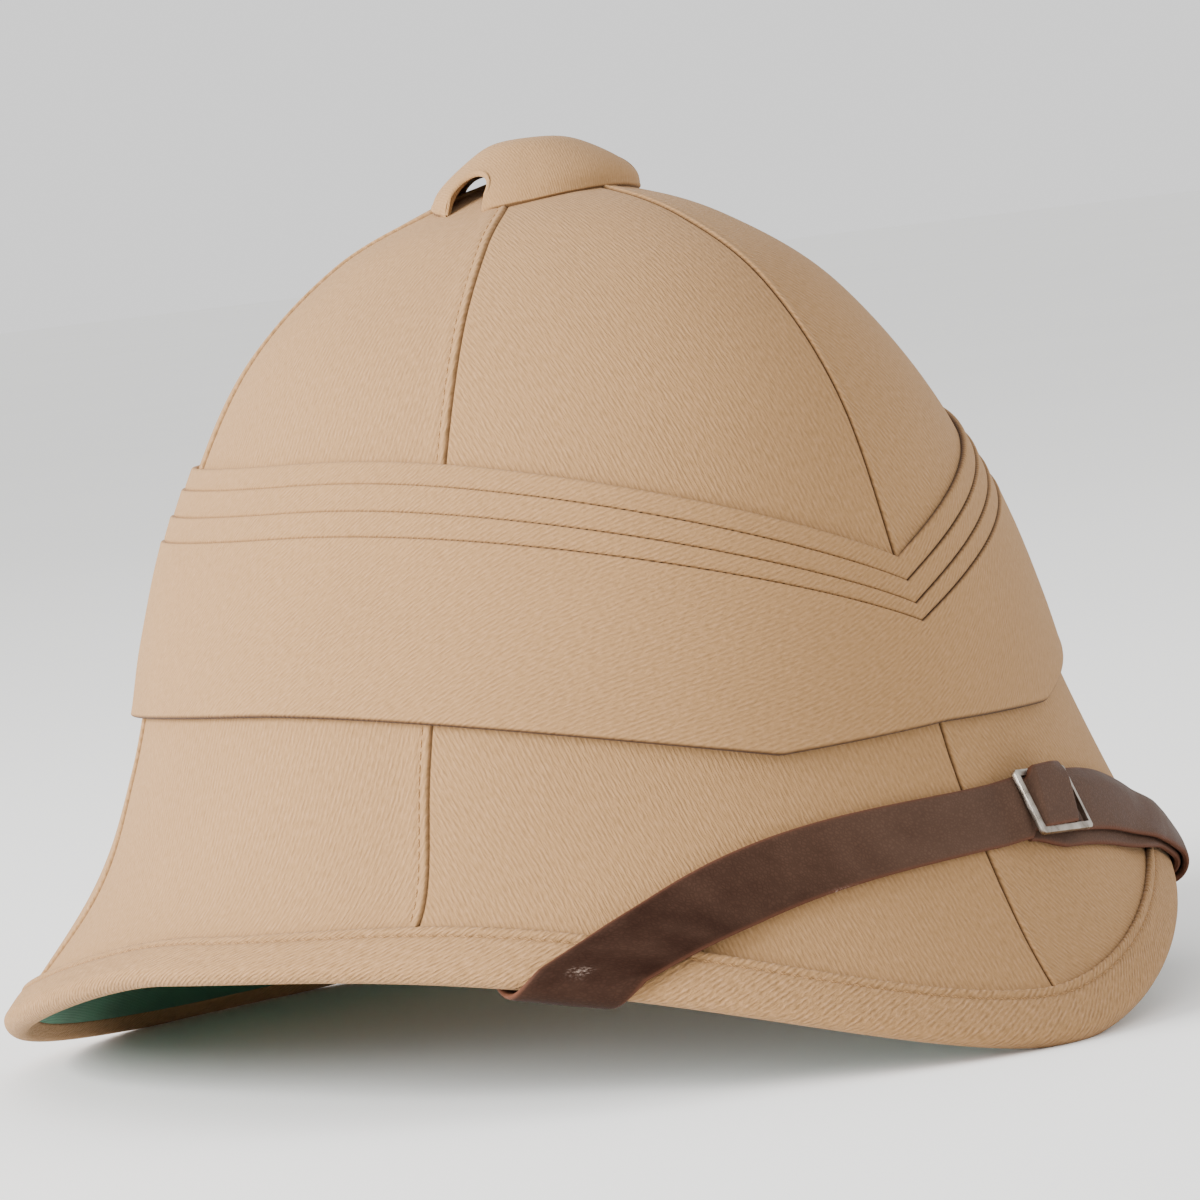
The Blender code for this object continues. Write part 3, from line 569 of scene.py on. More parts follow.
def twill_material(name, colours, wale_angle, pitch, wander, contrast, strength):
    """Cotton twill: slanted wales of a lighter face yarn over darker gaps, broken up as woven yarn
    is, a heathered tone, and painted shade in seams and folds."""
    made, add = start_material(name)
    mm = in_millimetres(add)
    turned = add("Mapping", {"Rotation": (0.0, 0.0, math.radians(wale_angle))}, {"Vector": mm})
    # One wave for each wale of the twill, drawn about four times as coarse as real so that it shows
    wales = add("TexWave", {"Scale": BAND_A_MM / pitch, "Distortion": wander, "Detail": 2.0,
                            "Detail Scale": 1.6, "Detail Roughness": 0.6}, {"Vector": turned})
    # The face yarn's floats, about 2 mm long along each wale and 0.5 mm wide
    stretched = add("Mapping", {"Scale": (2.0, 0.5, 1.0)}, {"Vector": turned})
    floats = add("TexNoise", {"Scale": 0.95, "Roughness": 0.55}, {"Vector": stretched})
    patches = add("TexNoise", {"Scale": 0.03}, {"Vector": mm})
    fuzz = add("TexNoise", {"Scale": 1.7, "Detail": 3.0, "Roughness": 0.7}, {"Vector": mm})
    wale = wales.outputs["Fac"]
    broken = add("MapRange", {**NOISE_RANGE, "To Min": -0.5, "To Max": 0.5}, {"Value": floats})
    height = add("Math", {"operation": "MULTIPLY_ADD", 1: 0.55}, {0: wale, 2: broken})
    level = add("MapRange", {"From Min": -0.5, "From Max": 1.05, "To Min": 0.5 - contrast / 2,
                             "To Max": 0.5 + contrast / 2}, {"Value": height})
    tone = add("ValToRGB", {"stops": ((0.0, colours.khaki_gap), (0.5, colours.khaki),
                                      (1.0, colours.khaki_light))}, {"Fac": level})
    blotch = add("MapRange", {**NOISE_RANGE, "To Min": 0.982, "To Max": 1.018}, {"Value": patches})
    grain = add("MapRange", {"From Min": 0.25, "From Max": 0.75, "To Min": 0.94, "To Max": 1.06},
                {"Value": fuzz})
    shade = add("Math", {"operation": "MULTIPLY"}, {0: blotch, 1: grain})
    cloth = add("VectorMath", {"operation": "SCALE"}, {0: tone, "Scale": shade})
    # Painted fold shade is broken into dashes by the wales on the near arm, and whole elsewhere
    crease, tight = (add("Attribute", {"attribute_name": key}).outputs["Fac"]
                     for key in ("crease", "tight"))
    gaps = add("Math", {"operation": "SUBTRACT", 1: 1.0}, {0: wale})
    broken_by = add("Math", {"operation": "ADD"}, {0: crease, 1: gaps})
    dashes = add("Math", {"operation": "MULTIPLY_ADD", "use_clamp": True},
                 {0: tight, 1: broken_by, 2: crease})
    final = add("Mix", {"data_type": "RGBA", 7: (*colours.crease, 1.0)}, {0: dashes, 6: cloth})
    rough = add("MapRange", {"To Min": 0.97, "To Max": 0.82}, {"Value": height})
    return end_material(made, final.outputs[2], rough, height, strength, 0.00025, Sheen_Weight=0.06,
                        Sheen_Roughness=0.5, Specular_IOR_Level=0.15)


def plain_weave_material(name, light, dark, pitch, rough_low, rough_high):
    """Plain woven cotton: a fine check of two yarns, with a faint uneven dye."""
    made, add = start_material(name)
    mm = in_millimetres(add)
    yarns = [add("TexWave", {"bands_direction": way, "Scale": BAND_A_MM / pitch, "Distortion": 0.9,
                             "Detail": 1.0, "Detail Scale": 1.5}, {"Vector": mm}).outputs["Fac"]
             for way in ("X", "Y")]
    crossing = add("Math", {"operation": "MULTIPLY"}, {0: yarns[0], 1: yarns[1]})
    dye = add("TexNoise", {"Scale": 0.06, "Detail": 3.0}, {"Vector": mm})
    level = add("Math", {"operation": "MULTIPLY_ADD", 1: 0.6}, {0: crossing, 2: dye})
    tone = add("ValToRGB", {"stops": ((0.25, dark), (1.0, light))}, {"Fac": level})
    rough = add("MapRange", {"To Min": rough_low, "To Max": rough_high}, {"Value": crossing})
    return end_material(made, tone, rough, crossing, 0.5, 0.0002, Sheen_Weight=0.1)


def leather_material(name, colours):
    """Dark brown strap leather: small pebbles with darker valleys, rubbed lighter edges, a pale
    scuff, painted light on its front stretch, painted shade towards its near end, and a waxed,
    patchy shine."""
    made, add = start_material(name)
    mm = in_millimetres(add)
    pebbles = add("TexVoronoi", {"feature": "DISTANCE_TO_EDGE", "Scale": 1.15}, {"Vector": mm})
    pores = add("TexNoise", {"Scale": 3.2, "Detail": 3.0}, {"Vector": mm})
    patches = add("TexNoise", {"Scale": 0.09, "Detail": 3.0, "Roughness": 0.6}, {"Vector": mm})
    flecks = add("TexNoise", {"Scale": 1.6, "Detail": 4.0, "Roughness": 0.7}, {"Vector": mm})
    edge, scuff, wear = (add("Attribute", {"attribute_name": key}).outputs["Fac"]
                         for key in ("edge", "scuff", "wear"))
    dome = add("MapRange", {"From Max": 0.32, "interpolation_type": "SMOOTHSTEP"},
               {"Value": pebbles.outputs["Distance"]})
    relief = add("Math", {"operation": "MULTIPLY_ADD", 1: 0.35}, {0: pores, 2: dome})
    # Painted light and shade: the front stretch is paler, darkening round the near side to where
    # the strap turns under the brim
    faint = add("MapRange", {**NOISE_RANGE, "To Min": 0.41, "To Max": 0.57}, {"Value": patches})
    paler = add("Math", {"operation": "MULTIPLY_ADD", 1: 0.45}, {0: wear, 2: faint})
    tone = add("ValToRGB", {"stops": ((0.40, colours.leather_deep), (0.75, colours.leather),
                                      (1.0, colours.leather_light))}, {"Fac": paler})
    valley = add("Mix", {"data_type": "RGBA", "blend_type": "MULTIPLY", 0: 0.20},
                 {6: tone, 7: dome})
    rubbed = add("Mix", {"data_type": "RGBA", 7: (*colours.leather_edge, 1.0)},
                 {0: edge, 6: valley.outputs[2]})
    flaked = add("MapRange", {"From Min": 0.48, "From Max": 0.60}, {"Value": flecks})
    marked = add("Math", {"operation": "MULTIPLY"}, {0: scuff, 1: flaked})
    final = add("Mix", {"data_type": "RGBA", 7: (*colours.leather_scuff, 1.0)},
                {0: marked, 6: rubbed.outputs[2]})
    rough = add("MapRange", {**NOISE_RANGE, "To Min": 0.46, "To Max": 0.62}, {"Value": patches})
    return end_material(made, final.outputs[2], rough, relief, 0.28, 0.00014,
                        Specular_IOR_Level=0.06, Specular_Tint=(1.0, 0.74, 0.60, 1.0))


def steel_material(name, colours):
    """Satin steel: fine drawn lines and cloudy wear."""
    made, add = start_material(name)
    place = add("TexCoord").outputs["Object"]
    lines = add("Mapping", {"Scale": (1500.0, 9000.0, 1500.0)}, {"Vector": place})
    drawn = add("TexNoise", {"Scale": 1.0}, {"Vector": lines})
    cloud = add("TexNoise", {"Scale": 260.0, "Detail": 3.0}, {"Vector": place})
    tone = add("ValToRGB", {"stops": ((0.32, colours.steel_worn), (0.62, colours.steel))},
               {"Fac": cloud})
    both = add("Math", {"operation": "MULTIPLY_ADD", 1: 0.5}, {0: drawn, 2: cloud})
    rough = add("MapRange", {"From Min": 0.45, "To Min": 0.22, "To Max": 0.42}, {"Value": both})
    return end_material(made, tone, rough, drawn, 0.12, 0.00008, Metallic=1.0)


def thread_material(name, light, dark):
    """Twisted cotton thread: slanting plies, lighter on their backs."""
    made, add = start_material(name)
    plies = add("TexWave", {"Scale": BAND_A_MM / PLY_WIDTH, "Distortion": 0.4},
                {"Vector": in_millimetres(add, PLY_TURN)}).outputs["Fac"]
    tone = add("ValToRGB", {"stops": ((0.1, dark), (0.8, light))}, {"Fac": plies})
    return end_material(made, tone, None, plies, 0.4, 0.0001, Roughness=0.8)


def floor_material(name, colours):
    """Matt pale studio paper with a barely uneven tone."""
    made, add = start_material(name)
    cloud = add("TexNoise", {"Scale": 1.4}, {"Vector": add("TexCoord").outputs["Object"]})
    tone = add("ValToRGB", {"stops": ((0.2, colours.floor_shade), (0.8, colours.floor))},
               {"Fac": cloud})
    return end_material(made, tone, Roughness=0.9)


MATERIALS = {}


def make_materials():
    """The finishes that the pieces share, made once."""
    if MATERIALS:
        return MATERIALS
    colours = bpy.context.scene.helmet_colours
    # Angle of the wales, distance between them in mm, their wander, the contrast and the relief
    for key, name, *look in (("panel", "panels", 20.0, 1.35, 1.1, 0.75, 0.5),
                             ("band", "pugaree", -58.0, 0.95, 0.9, 0.7, 0.5),
                             ("bias", "binding", -52.0, 1.05, 0.15, 1.1, 0.8),
                             ("cap", "cap", 25.0, 0.80, 1.1, 0.4, 0.3)):
        MATERIALS[key] = twill_material("khaki cotton twill " + name, colours, *look)
    # Light and dark yarn, distance between yarns in mm, and the least and most roughness
    for key, name, *look in (
            ("inside", "calico shell lining", colours.calico, colours.calico_dark, 0.7, 0.9, 0.95),
            ("green", "green cotton lining", colours.green, colours.green_dark, 0.6, 0.85, 0.95)):
        MATERIALS[key] = plain_weave_material(name, *look)
    MATERIALS["leather"] = leather_material("dark brown strap leather", colours)
    MATERIALS["steel"] = steel_material("satin steel", colours)
    MATERIALS["thread"] = thread_material("khaki sewing thread", colours.thread,
                                          colours.thread_dark)
    MATERIALS["floor"] = floor_material("pale studio paper", colours)
    return MATERIALS


# ---- Cloth panels -------------------------------------------------------------------------------

def seam_angle(seam, share):
    """Angle of a seam at a share of the way from the rim to the crown's top."""
    return seam[0] + (seam[1] - seam[0]) * share


def seam_profile(distance, laps):
    """Lift of a seam at distances from it in metres, on the lapping side or the flat side."""
    table = np.array(LAP_SIDE if laps else FLAT_SIDE)
    return np.interp(distance / MM, table[:, 0], table[:, 1]) * MM


def panel_columns(share, middle_count):
    """Angles, seam lifts, seam shades and left and right distances of one row of the six panels."""
    angles, lifts, crease_shades, left, right = [], [], [], [], []
    near = np.array(SEAM_COLUMNS) * MM
    for k, seam in enumerate(SEAMS):
        after = SEAMS[(k + 1) % len(SEAMS)]
        start = seam_angle(seam, share)
        end = seam_angle(after, share) + (360.0 if k == len(SEAMS) - 1 else 0.0)
        fine = np.linspace(start, end, 61)
        arc = arc_length(SKIN.at(fine, share * SKIN.total(fine), 0.0))
        width = arc[-1]
        scale = min(1.0, width / (3.2 * near[-1]))
        edge = near * scale
        places = np.concatenate([[0.0], edge,
                                 np.linspace(edge[-1], width - edge[-1], middle_count + 2)[1:-1],
                                 width - edge[::-1]])
        angles.append(np.interp(places, arc, fine))
        far_side = seam_profile((width - places) / scale, after[2] < 0)
        lift = seam_profile(places / scale, seam[2] > 0) + far_side
        lifts.append(lift - np.where(places == 0.0, far_side, 0.0))
        nearest = np.minimum(places, width - places) / scale
        dark = np.where(places < width - places, seam[3], after[3])
        crease_shades.append(dark * np.clip(1 - nearest / CREASE_WIDTH, 0, 1))
        left.append(places - width / 2)
        right.append(np.append(places[1:], width) - width / 2)
    return [np.concatenate(part) for part in (angles, lifts, crease_shades, left, right)]


class HELMET_OT_panels(bpy.types.Operator):
    """Cover the crown and brim in six twill panels with lapped seams, over a lined inner wall"""
    bl_idname = "helmet.panels"
    bl_label = "Cloth Panels"

    def execute(self, context):
        finishes = make_materials()
        shares = np.linspace(*PANEL_SHARES, PANEL_ROWS)
        made = [panel_columns(share, PANEL_COLUMNS) for share in shares]
        angles, lifts, crease_shades, left, right = (np.array([row[k] for row in made]) for k in range(5))
        reach = shares[:, None] * SKIN.total(angles)
        round_way = np.radians(angles) * CROWN_RADIUS
        lifts = lifts + PANEL_WAVE * ripple(reach, round_way, 5, (0.09, 0.05))
        inner_rows = np.linspace(0, PANEL_ROWS - 1, INNER_ROWS).astype(int)[::-1]
        points = np.concatenate([SKIN.at(angles[inner_rows], reach[inner_rows], -SHELL_WALL),
                                 SKIN.at(angles, reach, lifts)])
        total_rows, columns = points.shape[:2]
        faces = net_faces(total_rows, columns)
        # Each panel's cloth turns with its own grain, so the wales meet at an angle at the seams
        grain = np.radians(np.repeat(PANEL_GRAIN, columns // len(SEAMS)))
        u_left, u_right, v_left = (np.concatenate([part[inner_rows], part])
                                   for part in (left, right, reach))
        turned = [(u * np.cos(grain) - v * np.sin(grain), u * np.sin(grain) + v * np.cos(grain))
                  for u, v in ((u_left, v_left), (u_right, np.roll(v_left, -1, axis=1)))]
        uv = net_uv(turned[0][0], turned[1][0], turned[0][1], turned[1][1])
        # The inner and the outer face each close at a pole
        top = SKIN.points[:, -1].mean(axis=0)
        base = total_rows * columns
        for c in range(columns):
            beside = (c + 1) % columns
            faces += [(base, beside, c), (base + 1, base - columns + c, base - columns + beside)]
        pole_uv = [(0, 0.3), (0.001, 0.3), (0, 0.299)] * (2 * columns)
        flat = np.vstack([points.reshape(-1, 3), top - (0, 0, SHELL_WALL), top])
        cloth_rows = total_rows - len(inner_rows)
        indices = [1] * ((INNER_ROWS - 1) * columns) + [0] * (cloth_rows * columns)
        # Painted shade along the seams' lines, none on the inner wall
        crease = np.concatenate([np.zeros(len(inner_rows) * columns), crease_shades.ravel(), [0, 0]])
        piece = add_piece("crown_cloth", flat, faces, [finishes["panel"], finishes["inside"]],
                          np.vstack([uv, pole_uv]), {"crease": crease}, indices + [1, 0] * columns)
        piece.data.flip_normals()
        finish_piece(piece, "khaki_twill", "helmet_shell")
        return {"FINISHED"}


# ---- Pugaree ------------------------------------------------------------------------------------

def pugaree_height(front, side, back, angle):
    """Heights of a pugaree line: a V at the front, level round the sides and back."""
    sine = np.abs(np.sin(np.radians(angle)))
    fore = CROWN_HEIGHT * (side - (side - front) * (1 - sine) ** PUGAREE_V_POWER)
    aft = CROWN_HEIGHT * (side - (side - back) * (1 - sine))
    return np.where(np.cos(np.radians(angle)) >= 0, fore, aft)


def pugaree_foot_height(angle):
    """Heights of the band's lower edge: a soft kink each side of the front, high at the sides."""
    turn = np.abs((angle + 180) % 360 - 180)
    low = PUGAREE_FOOT_FRONT + (PUGAREE_FOOT_KINK - PUGAREE_FOOT_FRONT) * turn / PUGAREE_KINK_ANGLE
    rise = np.sin(np.radians(90 * (turn - PUGAREE_KINK_ANGLE) / (90 - PUGAREE_KINK_ANGLE)))
    climb = PUGAREE_FOOT_KINK + (PUGAREE_FOOT_SIDE - PUGAREE_FOOT_KINK) * rise
    fall = (PUGAREE_FOOT_SIDE - PUGAREE_FOOT_BACK) * (1 - np.sin(np.radians(turn)))
    past_kink = np.where(turn <= 90, climb, PUGAREE_FOOT_SIDE - fall)
    share = np.where(turn <= PUGAREE_KINK_ANGLE, low, past_kink)
    return CROWN_HEIGHT * share


# Rows across a fold's edge: distance above it in mm, share of the step from the fold above to the
# fold below, extra lift in mm, and how much painted shade darkens it in the crevice
FOLD_EDGE = ((1.3, 0.0, 0.02, 0.0), (0.75, 0.0, 0.0, 0.0), (0.45, 0.0, -0.08, 0.12),
             (0.30, 0.0, -0.34, 0.75), (0.16, 0.0, -0.46, 1.0), (0.02, 0.10, -0.30, 0.85),
             (-0.06, 0.55, -0.10, 0.30), (-0.20, 0.92, 0.0, 0.05), (-0.42, 1.0, 0.05, 0.0),
             (-0.85, 1.0, 0.06, 0.0), (-1.6, 1.0, 0.02, 0.0))
TOP_EDGE = ((0.10, 0.0, 0.15, 1.0), (0.17, 0.0, 0.50, 0.9), (0.14, 0.0, 0.90, 0.6),
            (0.02, 0.0, 1.25, 0.2), (-0.20, 1.0, -0.14, 0.0), (-0.50, 1.0, 0.0, 0.0),
            (-1.1, 1.0, 0.04, 0.0), (-2.0, 1.0, 0.02, 0.0))
BAND_ROWS = 34
BAND_SWELL = 0.00035
# How dark the folds' painted shade is at the sides, and how much darker towards the front and
# past the V
FOLD_SHADE_SIDES = 0.12
FOLD_SHADE_FRONT = 0.38
FOLD_SHADE_FAR = 0.5
# Strength of the dashes that break the painted fold shade on the near arm
FOLD_DASHES = 1.6
# How far the wound cloth's slack waves, and the lift where it starts
SLACK_WAVE = 0.00022
SLACK_START = 0.0012
# The band's turned foot: distance above it in mm, drop in mm, and how much painted shade darkens it
FOOT_EDGE = ((2.4, 0.0, 0.0), (1.4, 0.02, 0.0), (0.8, 0.02, 0.0), (0.42, -0.05, 0.3),
             (0.16, -0.28, 0.75), (0.0, -0.70, 1.0), (-0.06, -1.20, 1.0), (-0.02, -1.70, 1.0),
             (0.10, -2.0, 1.0))


class HELMET_OT_pugaree(bpy.types.Operator):
    """Wind the pugaree: three stepped folds over a wide band with a turned lower edge"""
    bl_idname = "helmet.pugaree"
    bl_label = "Pugaree"

    def execute(self, context):
        finishes = make_materials()
        columns = PUGAREE_COLUMNS
        angles = round_angles(columns)
        lines = [SKIN.reach_at_height(angles, pugaree_height(*heights, angles))
                 for *heights, _ in PUGAREE_LINES]
        lifts = [PUGAREE_GAP + layers * PUGAREE_LAYER for *_, layers in PUGAREE_LINES]
        foot = SKIN.reach_at_height(angles, pugaree_foot_height(angles))
        band = PUGAREE_GAP + PUGAREE_BAND_LAYERS * PUGAREE_LAYER
        # The folds' painted shade is weak at the sides and stronger towards the front, and
        # strongest past the V, on the side away from the light
        frontward = smooth_step((88.0 - np.abs(angles)) / 50.0)
        past_v = smooth_step((6.0 - angles) / 8.0)
        fold_shade = FOLD_SHADE_SIDES + FOLD_SHADE_FRONT * frontward + FOLD_SHADE_FAR * past_v
        far_fold_shade = fold_shade * (0.3 + 0.7 * smooth_step((angles + 120.0) / 60.0))
        fold_shade = np.where(angles < -60, far_fold_shade, fold_shade)
        reach, lift, crease = [], [], []
        for above, share, extra, deep in TOP_EDGE:
            reach.append(lines[0] + above * MM)
            lift.append(np.full(columns, lifts[0] * share + extra * MM))
            crease.append(deep * fold_shade)
        for k in range(1, 4):
            for above, share, extra, deep in FOLD_EDGE:
                reach.append(lines[k] + above * MM)
                step = share * (lifts[k] - lifts[k - 1])
                lift.append(np.full(columns, lifts[k - 1] + step + extra * MM))
                crease.append(deep * fold_shade)
        top, end = lines[3] - 1.6 * MM, foot + FOOT_EDGE[0][0] * MM
        for k in range(1, BAND_ROWS):
            share = k / BAND_ROWS
            reach.append(top + share * (end - top))
            swell = BAND_SWELL * math.sin(math.pi * share)
            lift.append(np.full(columns, lifts[3] + share * (band - lifts[3]) + swell))
            crease.append(np.zeros(columns))
        for above, drop, deep in FOOT_EDGE:
            reach.append(foot + above * MM)
            lift.append(np.full(columns, band + drop * MM))
            crease.append(np.full(columns, deep))
        reach, lift, crease = np.array(reach), np.array(lift), np.array(crease)
        wound = np.radians(angles)[None, :] * 0.115
        slack = smooth_step((lift - SLACK_START) / MM)
        lift = lift + slack * SLACK_WAVE * ripple(reach * 2.0, wound, 11, (0.10, 0.045))
        inner_share = np.linspace(0, 1, 6)[1:-1, None]
        inner_reach = foot + 0.5 * MM + inner_share * (lines[0] - foot - 1.0 * MM)
        outer = SKIN.at(angles[None, :], reach, lift)
        inner = SKIN.at(angles[None, :], inner_reach, 0.35 * MM)
        points = np.concatenate([outer, inner])
        u = girth(SKIN.at(angles, (lines[3] + foot) / 2, band))
        shade = np.concatenate([crease, np.zeros_like(inner_reach)])
        near_arm = FOLD_DASHES * smooth_step((angles - 2.0) / 4.0)
        tight = np.broadcast_to(near_arm, shade.shape).copy()
        tight[len(reach) - len(FOOT_EDGE):] = 0.0
        piece = closed_cloth("pugaree_cloth", points, finishes["band"], u,
                             np.concatenate([reach, inner_reach]),
                             {"crease": shade, "tight": tight})
        finish_piece(piece, "khaki_twill", "pugaree")
        return {"FINISHED"}


# ---- Rim binding and lining ---------------------------------------------------------------------

# The binding's outer edge, then its face: distance below the edge in mm, lift share, painted shade
BINDING_EDGE = ((-0.06, 0.10, 0.7), (-0.12, 0.38, 0.35), (0.02, 0.72, 0.1), (0.3, 0.95, 0.0),
                (0.8, 1.05, 0.0), (1.5, 1.02, 0.0), (2.1, 0.90, 0.1), (2.5, 0.76, 0.35),
                (2.9, 0.88, 0.1), (3.6, 0.99, 0.0), (5.0, 1.03, 0.0), (7.0, 1.02, 0.0),
                (9.0, 1.0, 0.0))
# The pucker between its stitches: how far it lifts, and how far the edge waves
PUCKER_LIFT = 0.00006
PUCKER_WAVE = 0.00012
# Its inside up to the inner edge: distance above the rim in mm, extra lift in mm, and painted shade
BINDING_INSIDE = ((4.5, 0.0, 0.0), (6.0, 0.0, 0.0), (7.4, 0.05, 0.0), (8.1, 0.10, 0.0),
                  (8.5, 0.42, 0.3), (8.55, 0.85, 0.8), (8.2, 1.2, 1.0))


class HELMET_OT_binding(bpy.types.Operator):
    """Fold the bias binding round the rim, with a puckered stitched edge"""
    bl_idname = "helmet.binding"
    bl_label = "Rim Binding"

    def execute(self, context):
        finishes = make_materials()
        sizes = context.scene.helmet_sizes
        columns = BINDING_COLUMNS
        angles = round_angles(columns)
        u = girth(SKIN.at(angles, BINDING_WIDTH_OUTSIDE, 0.0))
        pucker = np.cos(u[:-1] / (sizes.stitch_length + sizes.stitch_gap) * math.tau)
        rows, crease, across = [], [], []

        def add_row(row, deep, place):
            rows.append(row)
            crease.append(deep)
            across.append(place)

        for below, share, deep in BINDING_EDGE:
            held = math.exp(-((below - 1.1) / 1.2) ** 2)
            lift = BINDING_OUTER * share + PUCKER_LIFT * held * pucker
            wave = PUCKER_WAVE * pucker * math.exp(-(below / 0.5) ** 2)
            place = BINDING_WIDTH_OUTSIDE - below * MM
            add_row(SKIN.at(angles, place + wave, lift), deep, place)
        for turn in np.linspace(0, math.pi, BINDING_TURN_ROWS):
            add_row(edge_points(SKIN, angles, np.full(columns, turn), EDGE_RADIUS), 0.0,
                    EDGE_RADIUS * (1 - turn))
        for above, lift, deep in BINDING_INSIDE:
            add_row(SKIN.at(angles, above * MM, EDGE_CENTRE - EDGE_RADIUS + lift * MM), deep,
                    EDGE_RADIUS * (2 - math.pi) - above * MM)
        inner_radius = EDGE_RADIUS - BINDING_THICKNESS
        for above, side in ((6.0, -1), (1.6, -1), (1.6, 1), (8.0, 1)):
            add_row(SKIN.at(angles, above * MM, EDGE_CENTRE + side * inner_radius), 0.0, above * MM)
        points = np.array(rows)
        points[..., 2] = np.maximum(points[..., 2], 0.0)
        piece = closed_cloth("rim_binding_cloth", points, finishes["bias"], u,
                             np.array(across)[:, None], {"crease": np.repeat(crease, columns)})
        finish_piece(piece, "khaki_twill", "rim_binding")
        return {"FINISHED"}


class HELMET_OT_lining(bpy.types.Operator):
    """Lay the green lining under the brim, from the binding's inner edge towards the head"""
    bl_idname = "helmet.lining"
    bl_label = "Brim Lining"

    def execute(self, context):
        finishes = make_materials()
        angles = round_angles(LINING_COLUMNS)
        reach = np.linspace(BINDING_WIDTH_INSIDE - 0.3 * MM, LINING_WIDTH, LINING_ROWS)
        face = -SHELL_WALL - LINING_OUTER
        middle = np.sin(math.pi * np.linspace(0, 1, len(reach)))[:, None]
        round_way = np.radians(angles)[None, :] * BRIM_RADIUS
        lift = face + middle * LINING_WAVE * ripple(reach[:, None], round_way, 3, (0.05, 0.028))
        lift[0] += LINING_TUCK
        lift[-1] += LINING_TUCK + 0.05 * MM
        back_reach = reach[::-1][::4]
        points = np.concatenate([SKIN.at(angles, reach[:, None], lift),
                                 SKIN.at(angles, back_reach[:, None], -SHELL_WALL - 0.2 * MM)])
        u = girth(SKIN.at(angles, LINING_WIDTH / 2, face))
        piece = closed_cloth("brim_lining_cloth", points, finishes["green"], u,
                             np.concatenate([reach, back_reach])[:, None], sharp=60)
        finish_piece(piece, "green_lining", "brim_lining")
        return {"FINISHED"}


# ---- Stitching ----------------------------------------------------------------------------------

STITCH_SIDES = 6
# Height of the seams' stitches over the cloth, and the binding's stitch line below its edge
SEAM_STITCH_LIFT = 0.00026
BINDING_STITCH_INSET = 0.0025
STITCH_UNDER_CAP = 0.006
def stitch_mesh(runs, length, gap, radius):
    """Points, faces and UVs of rounded stitches laid along runs of (points, normals)."""
    rings = ((-0.5, 0.25), (-0.36, 0.8), (0.0, 1.0), (0.36, 0.8), (0.5, 0.25))
    turns = [math.tau * side / STITCH_SIDES for side in range(STITCH_SIDES)]
    pattern, pattern_uv = tube_net(len(rings), STITCH_SIDES, (0.0005, 0), (0, 0.0002))
    points, faces, uv = [], [], []

    def read(net, place):
        return np.array([np.interp(place, travelled, net[:, c]) for c in range(3)])

    for line, normals in runs:
        travelled = arc_length(line)
        for k in range(int(travelled[-1] // (length + gap))):
            middle = (k + 0.5) * (length + gap)
            before, after = (read(line, middle + step) for step in (-0.5 * MM, 0.5 * MM))
            along = (after - before) / np.linalg.norm(after - before)
            normal = read(normals, middle)
            normal = normal - along * (normal @ along)
            normal /= np.linalg.norm(normal)
            side = np.cross(normal, along)
            base = len(points)
            for place, share in rings:
                sunk = -0.45 * radius * (2 * abs(place)) ** 2
                spot = (before + after) / 2 + along * (place * length) + normal * sunk
                points += [spot + normal * (radius * share * math.sin(turn))
                           + side * (radius * share * 1.2 * math.cos(turn)) for turn in turns]
            faces += [tuple(base + corner for corner in face) for face in pattern]
            uv += pattern_uv
    return points, faces, uv


def line_normals(angle, reach, lift):
    """Points of a line over the skin with the skin's outward normals."""
    low = SKIN.at(angle, reach, lift)
    high = SKIN.at(angle, reach, np.asarray(lift) + MM)
    return low, (high - low) / MM


class HELMET_OT_stitching(bpy.types.Operator):
    """Sew the panels' lapped seams and the binding's edge with rows of stitches"""
    bl_idname = "helmet.stitching"
    bl_label = "Stitching"

    def execute(self, context):
        sizes = context.scene.helmet_sizes
        thread = sizes.thread_radius
        runs = []
        for seam in SEAMS:
            if seam[0] == 0.0:
                continue
            share = np.linspace(0.05, 0.97, 260)
            start = seam_angle(seam, share)
            reach = share * SKIN.total(start)
            angle = start + seam[2] * STITCH_LINE / SKIN.degree(start, reach)
            foot, top = (SKIN.reach_at_height(start[:1], height)[0] for height in (
                pugaree_foot_height(start[:1]), pugaree_height(*PUGAREE_LINES[0][:3], start[:1])))
            cap = SKIN.total(start) - CAP_RADIUS + STITCH_UNDER_CAP
            for keep in ((reach > BINDING_WIDTH_OUTSIDE + 0.5 * MM) & (reach < foot + MM),
                         (reach > top) & (reach < cap)):
                runs.append(line_normals(angle[keep], reach[keep], SEAM_STITCH_LIFT + 0.3 * thread))
        edge = line_normals(np.linspace(-180, 180, 1441),
                            BINDING_WIDTH_OUTSIDE - BINDING_STITCH_INSET,
                            BINDING_OUTER * 0.80 + 0.2 * thread)
        for name, lines in (("seam_stitching", runs), ("binding_stitching", [edge])):
            points, faces, uv = stitch_mesh(lines, sizes.stitch_length, sizes.stitch_gap, thread)
            piece = add_piece(name, points, faces, [make_materials()["thread"]], uv, sharp=80)
            finish_piece(piece, "khaki_twill")
        return {"FINISHED"}


# ---- Ventilator cap -----------------------------------------------------------------------------

# Heights over the cap's base in mm, with the welt's swell in mm and how much painted shade
# darkens the cloth there
CAP_WELT = ((0.0, 0.25, 0.55, 1.0, 1.5, 2.1), (-0.35, 0.20, 0.42, 0.34, 0.05, 0.0))
CAP_FOOT_SHADE = ((0.0, 0.28, 0.45), (1.0, 0.55, 0.0))
CAP_COLUMNS = 96
CAP_RINGS = 60
# Unevenness of the cap's foot and of its middle, as shares of its radius
CAP_LUMPS = (0.006, 0.012)
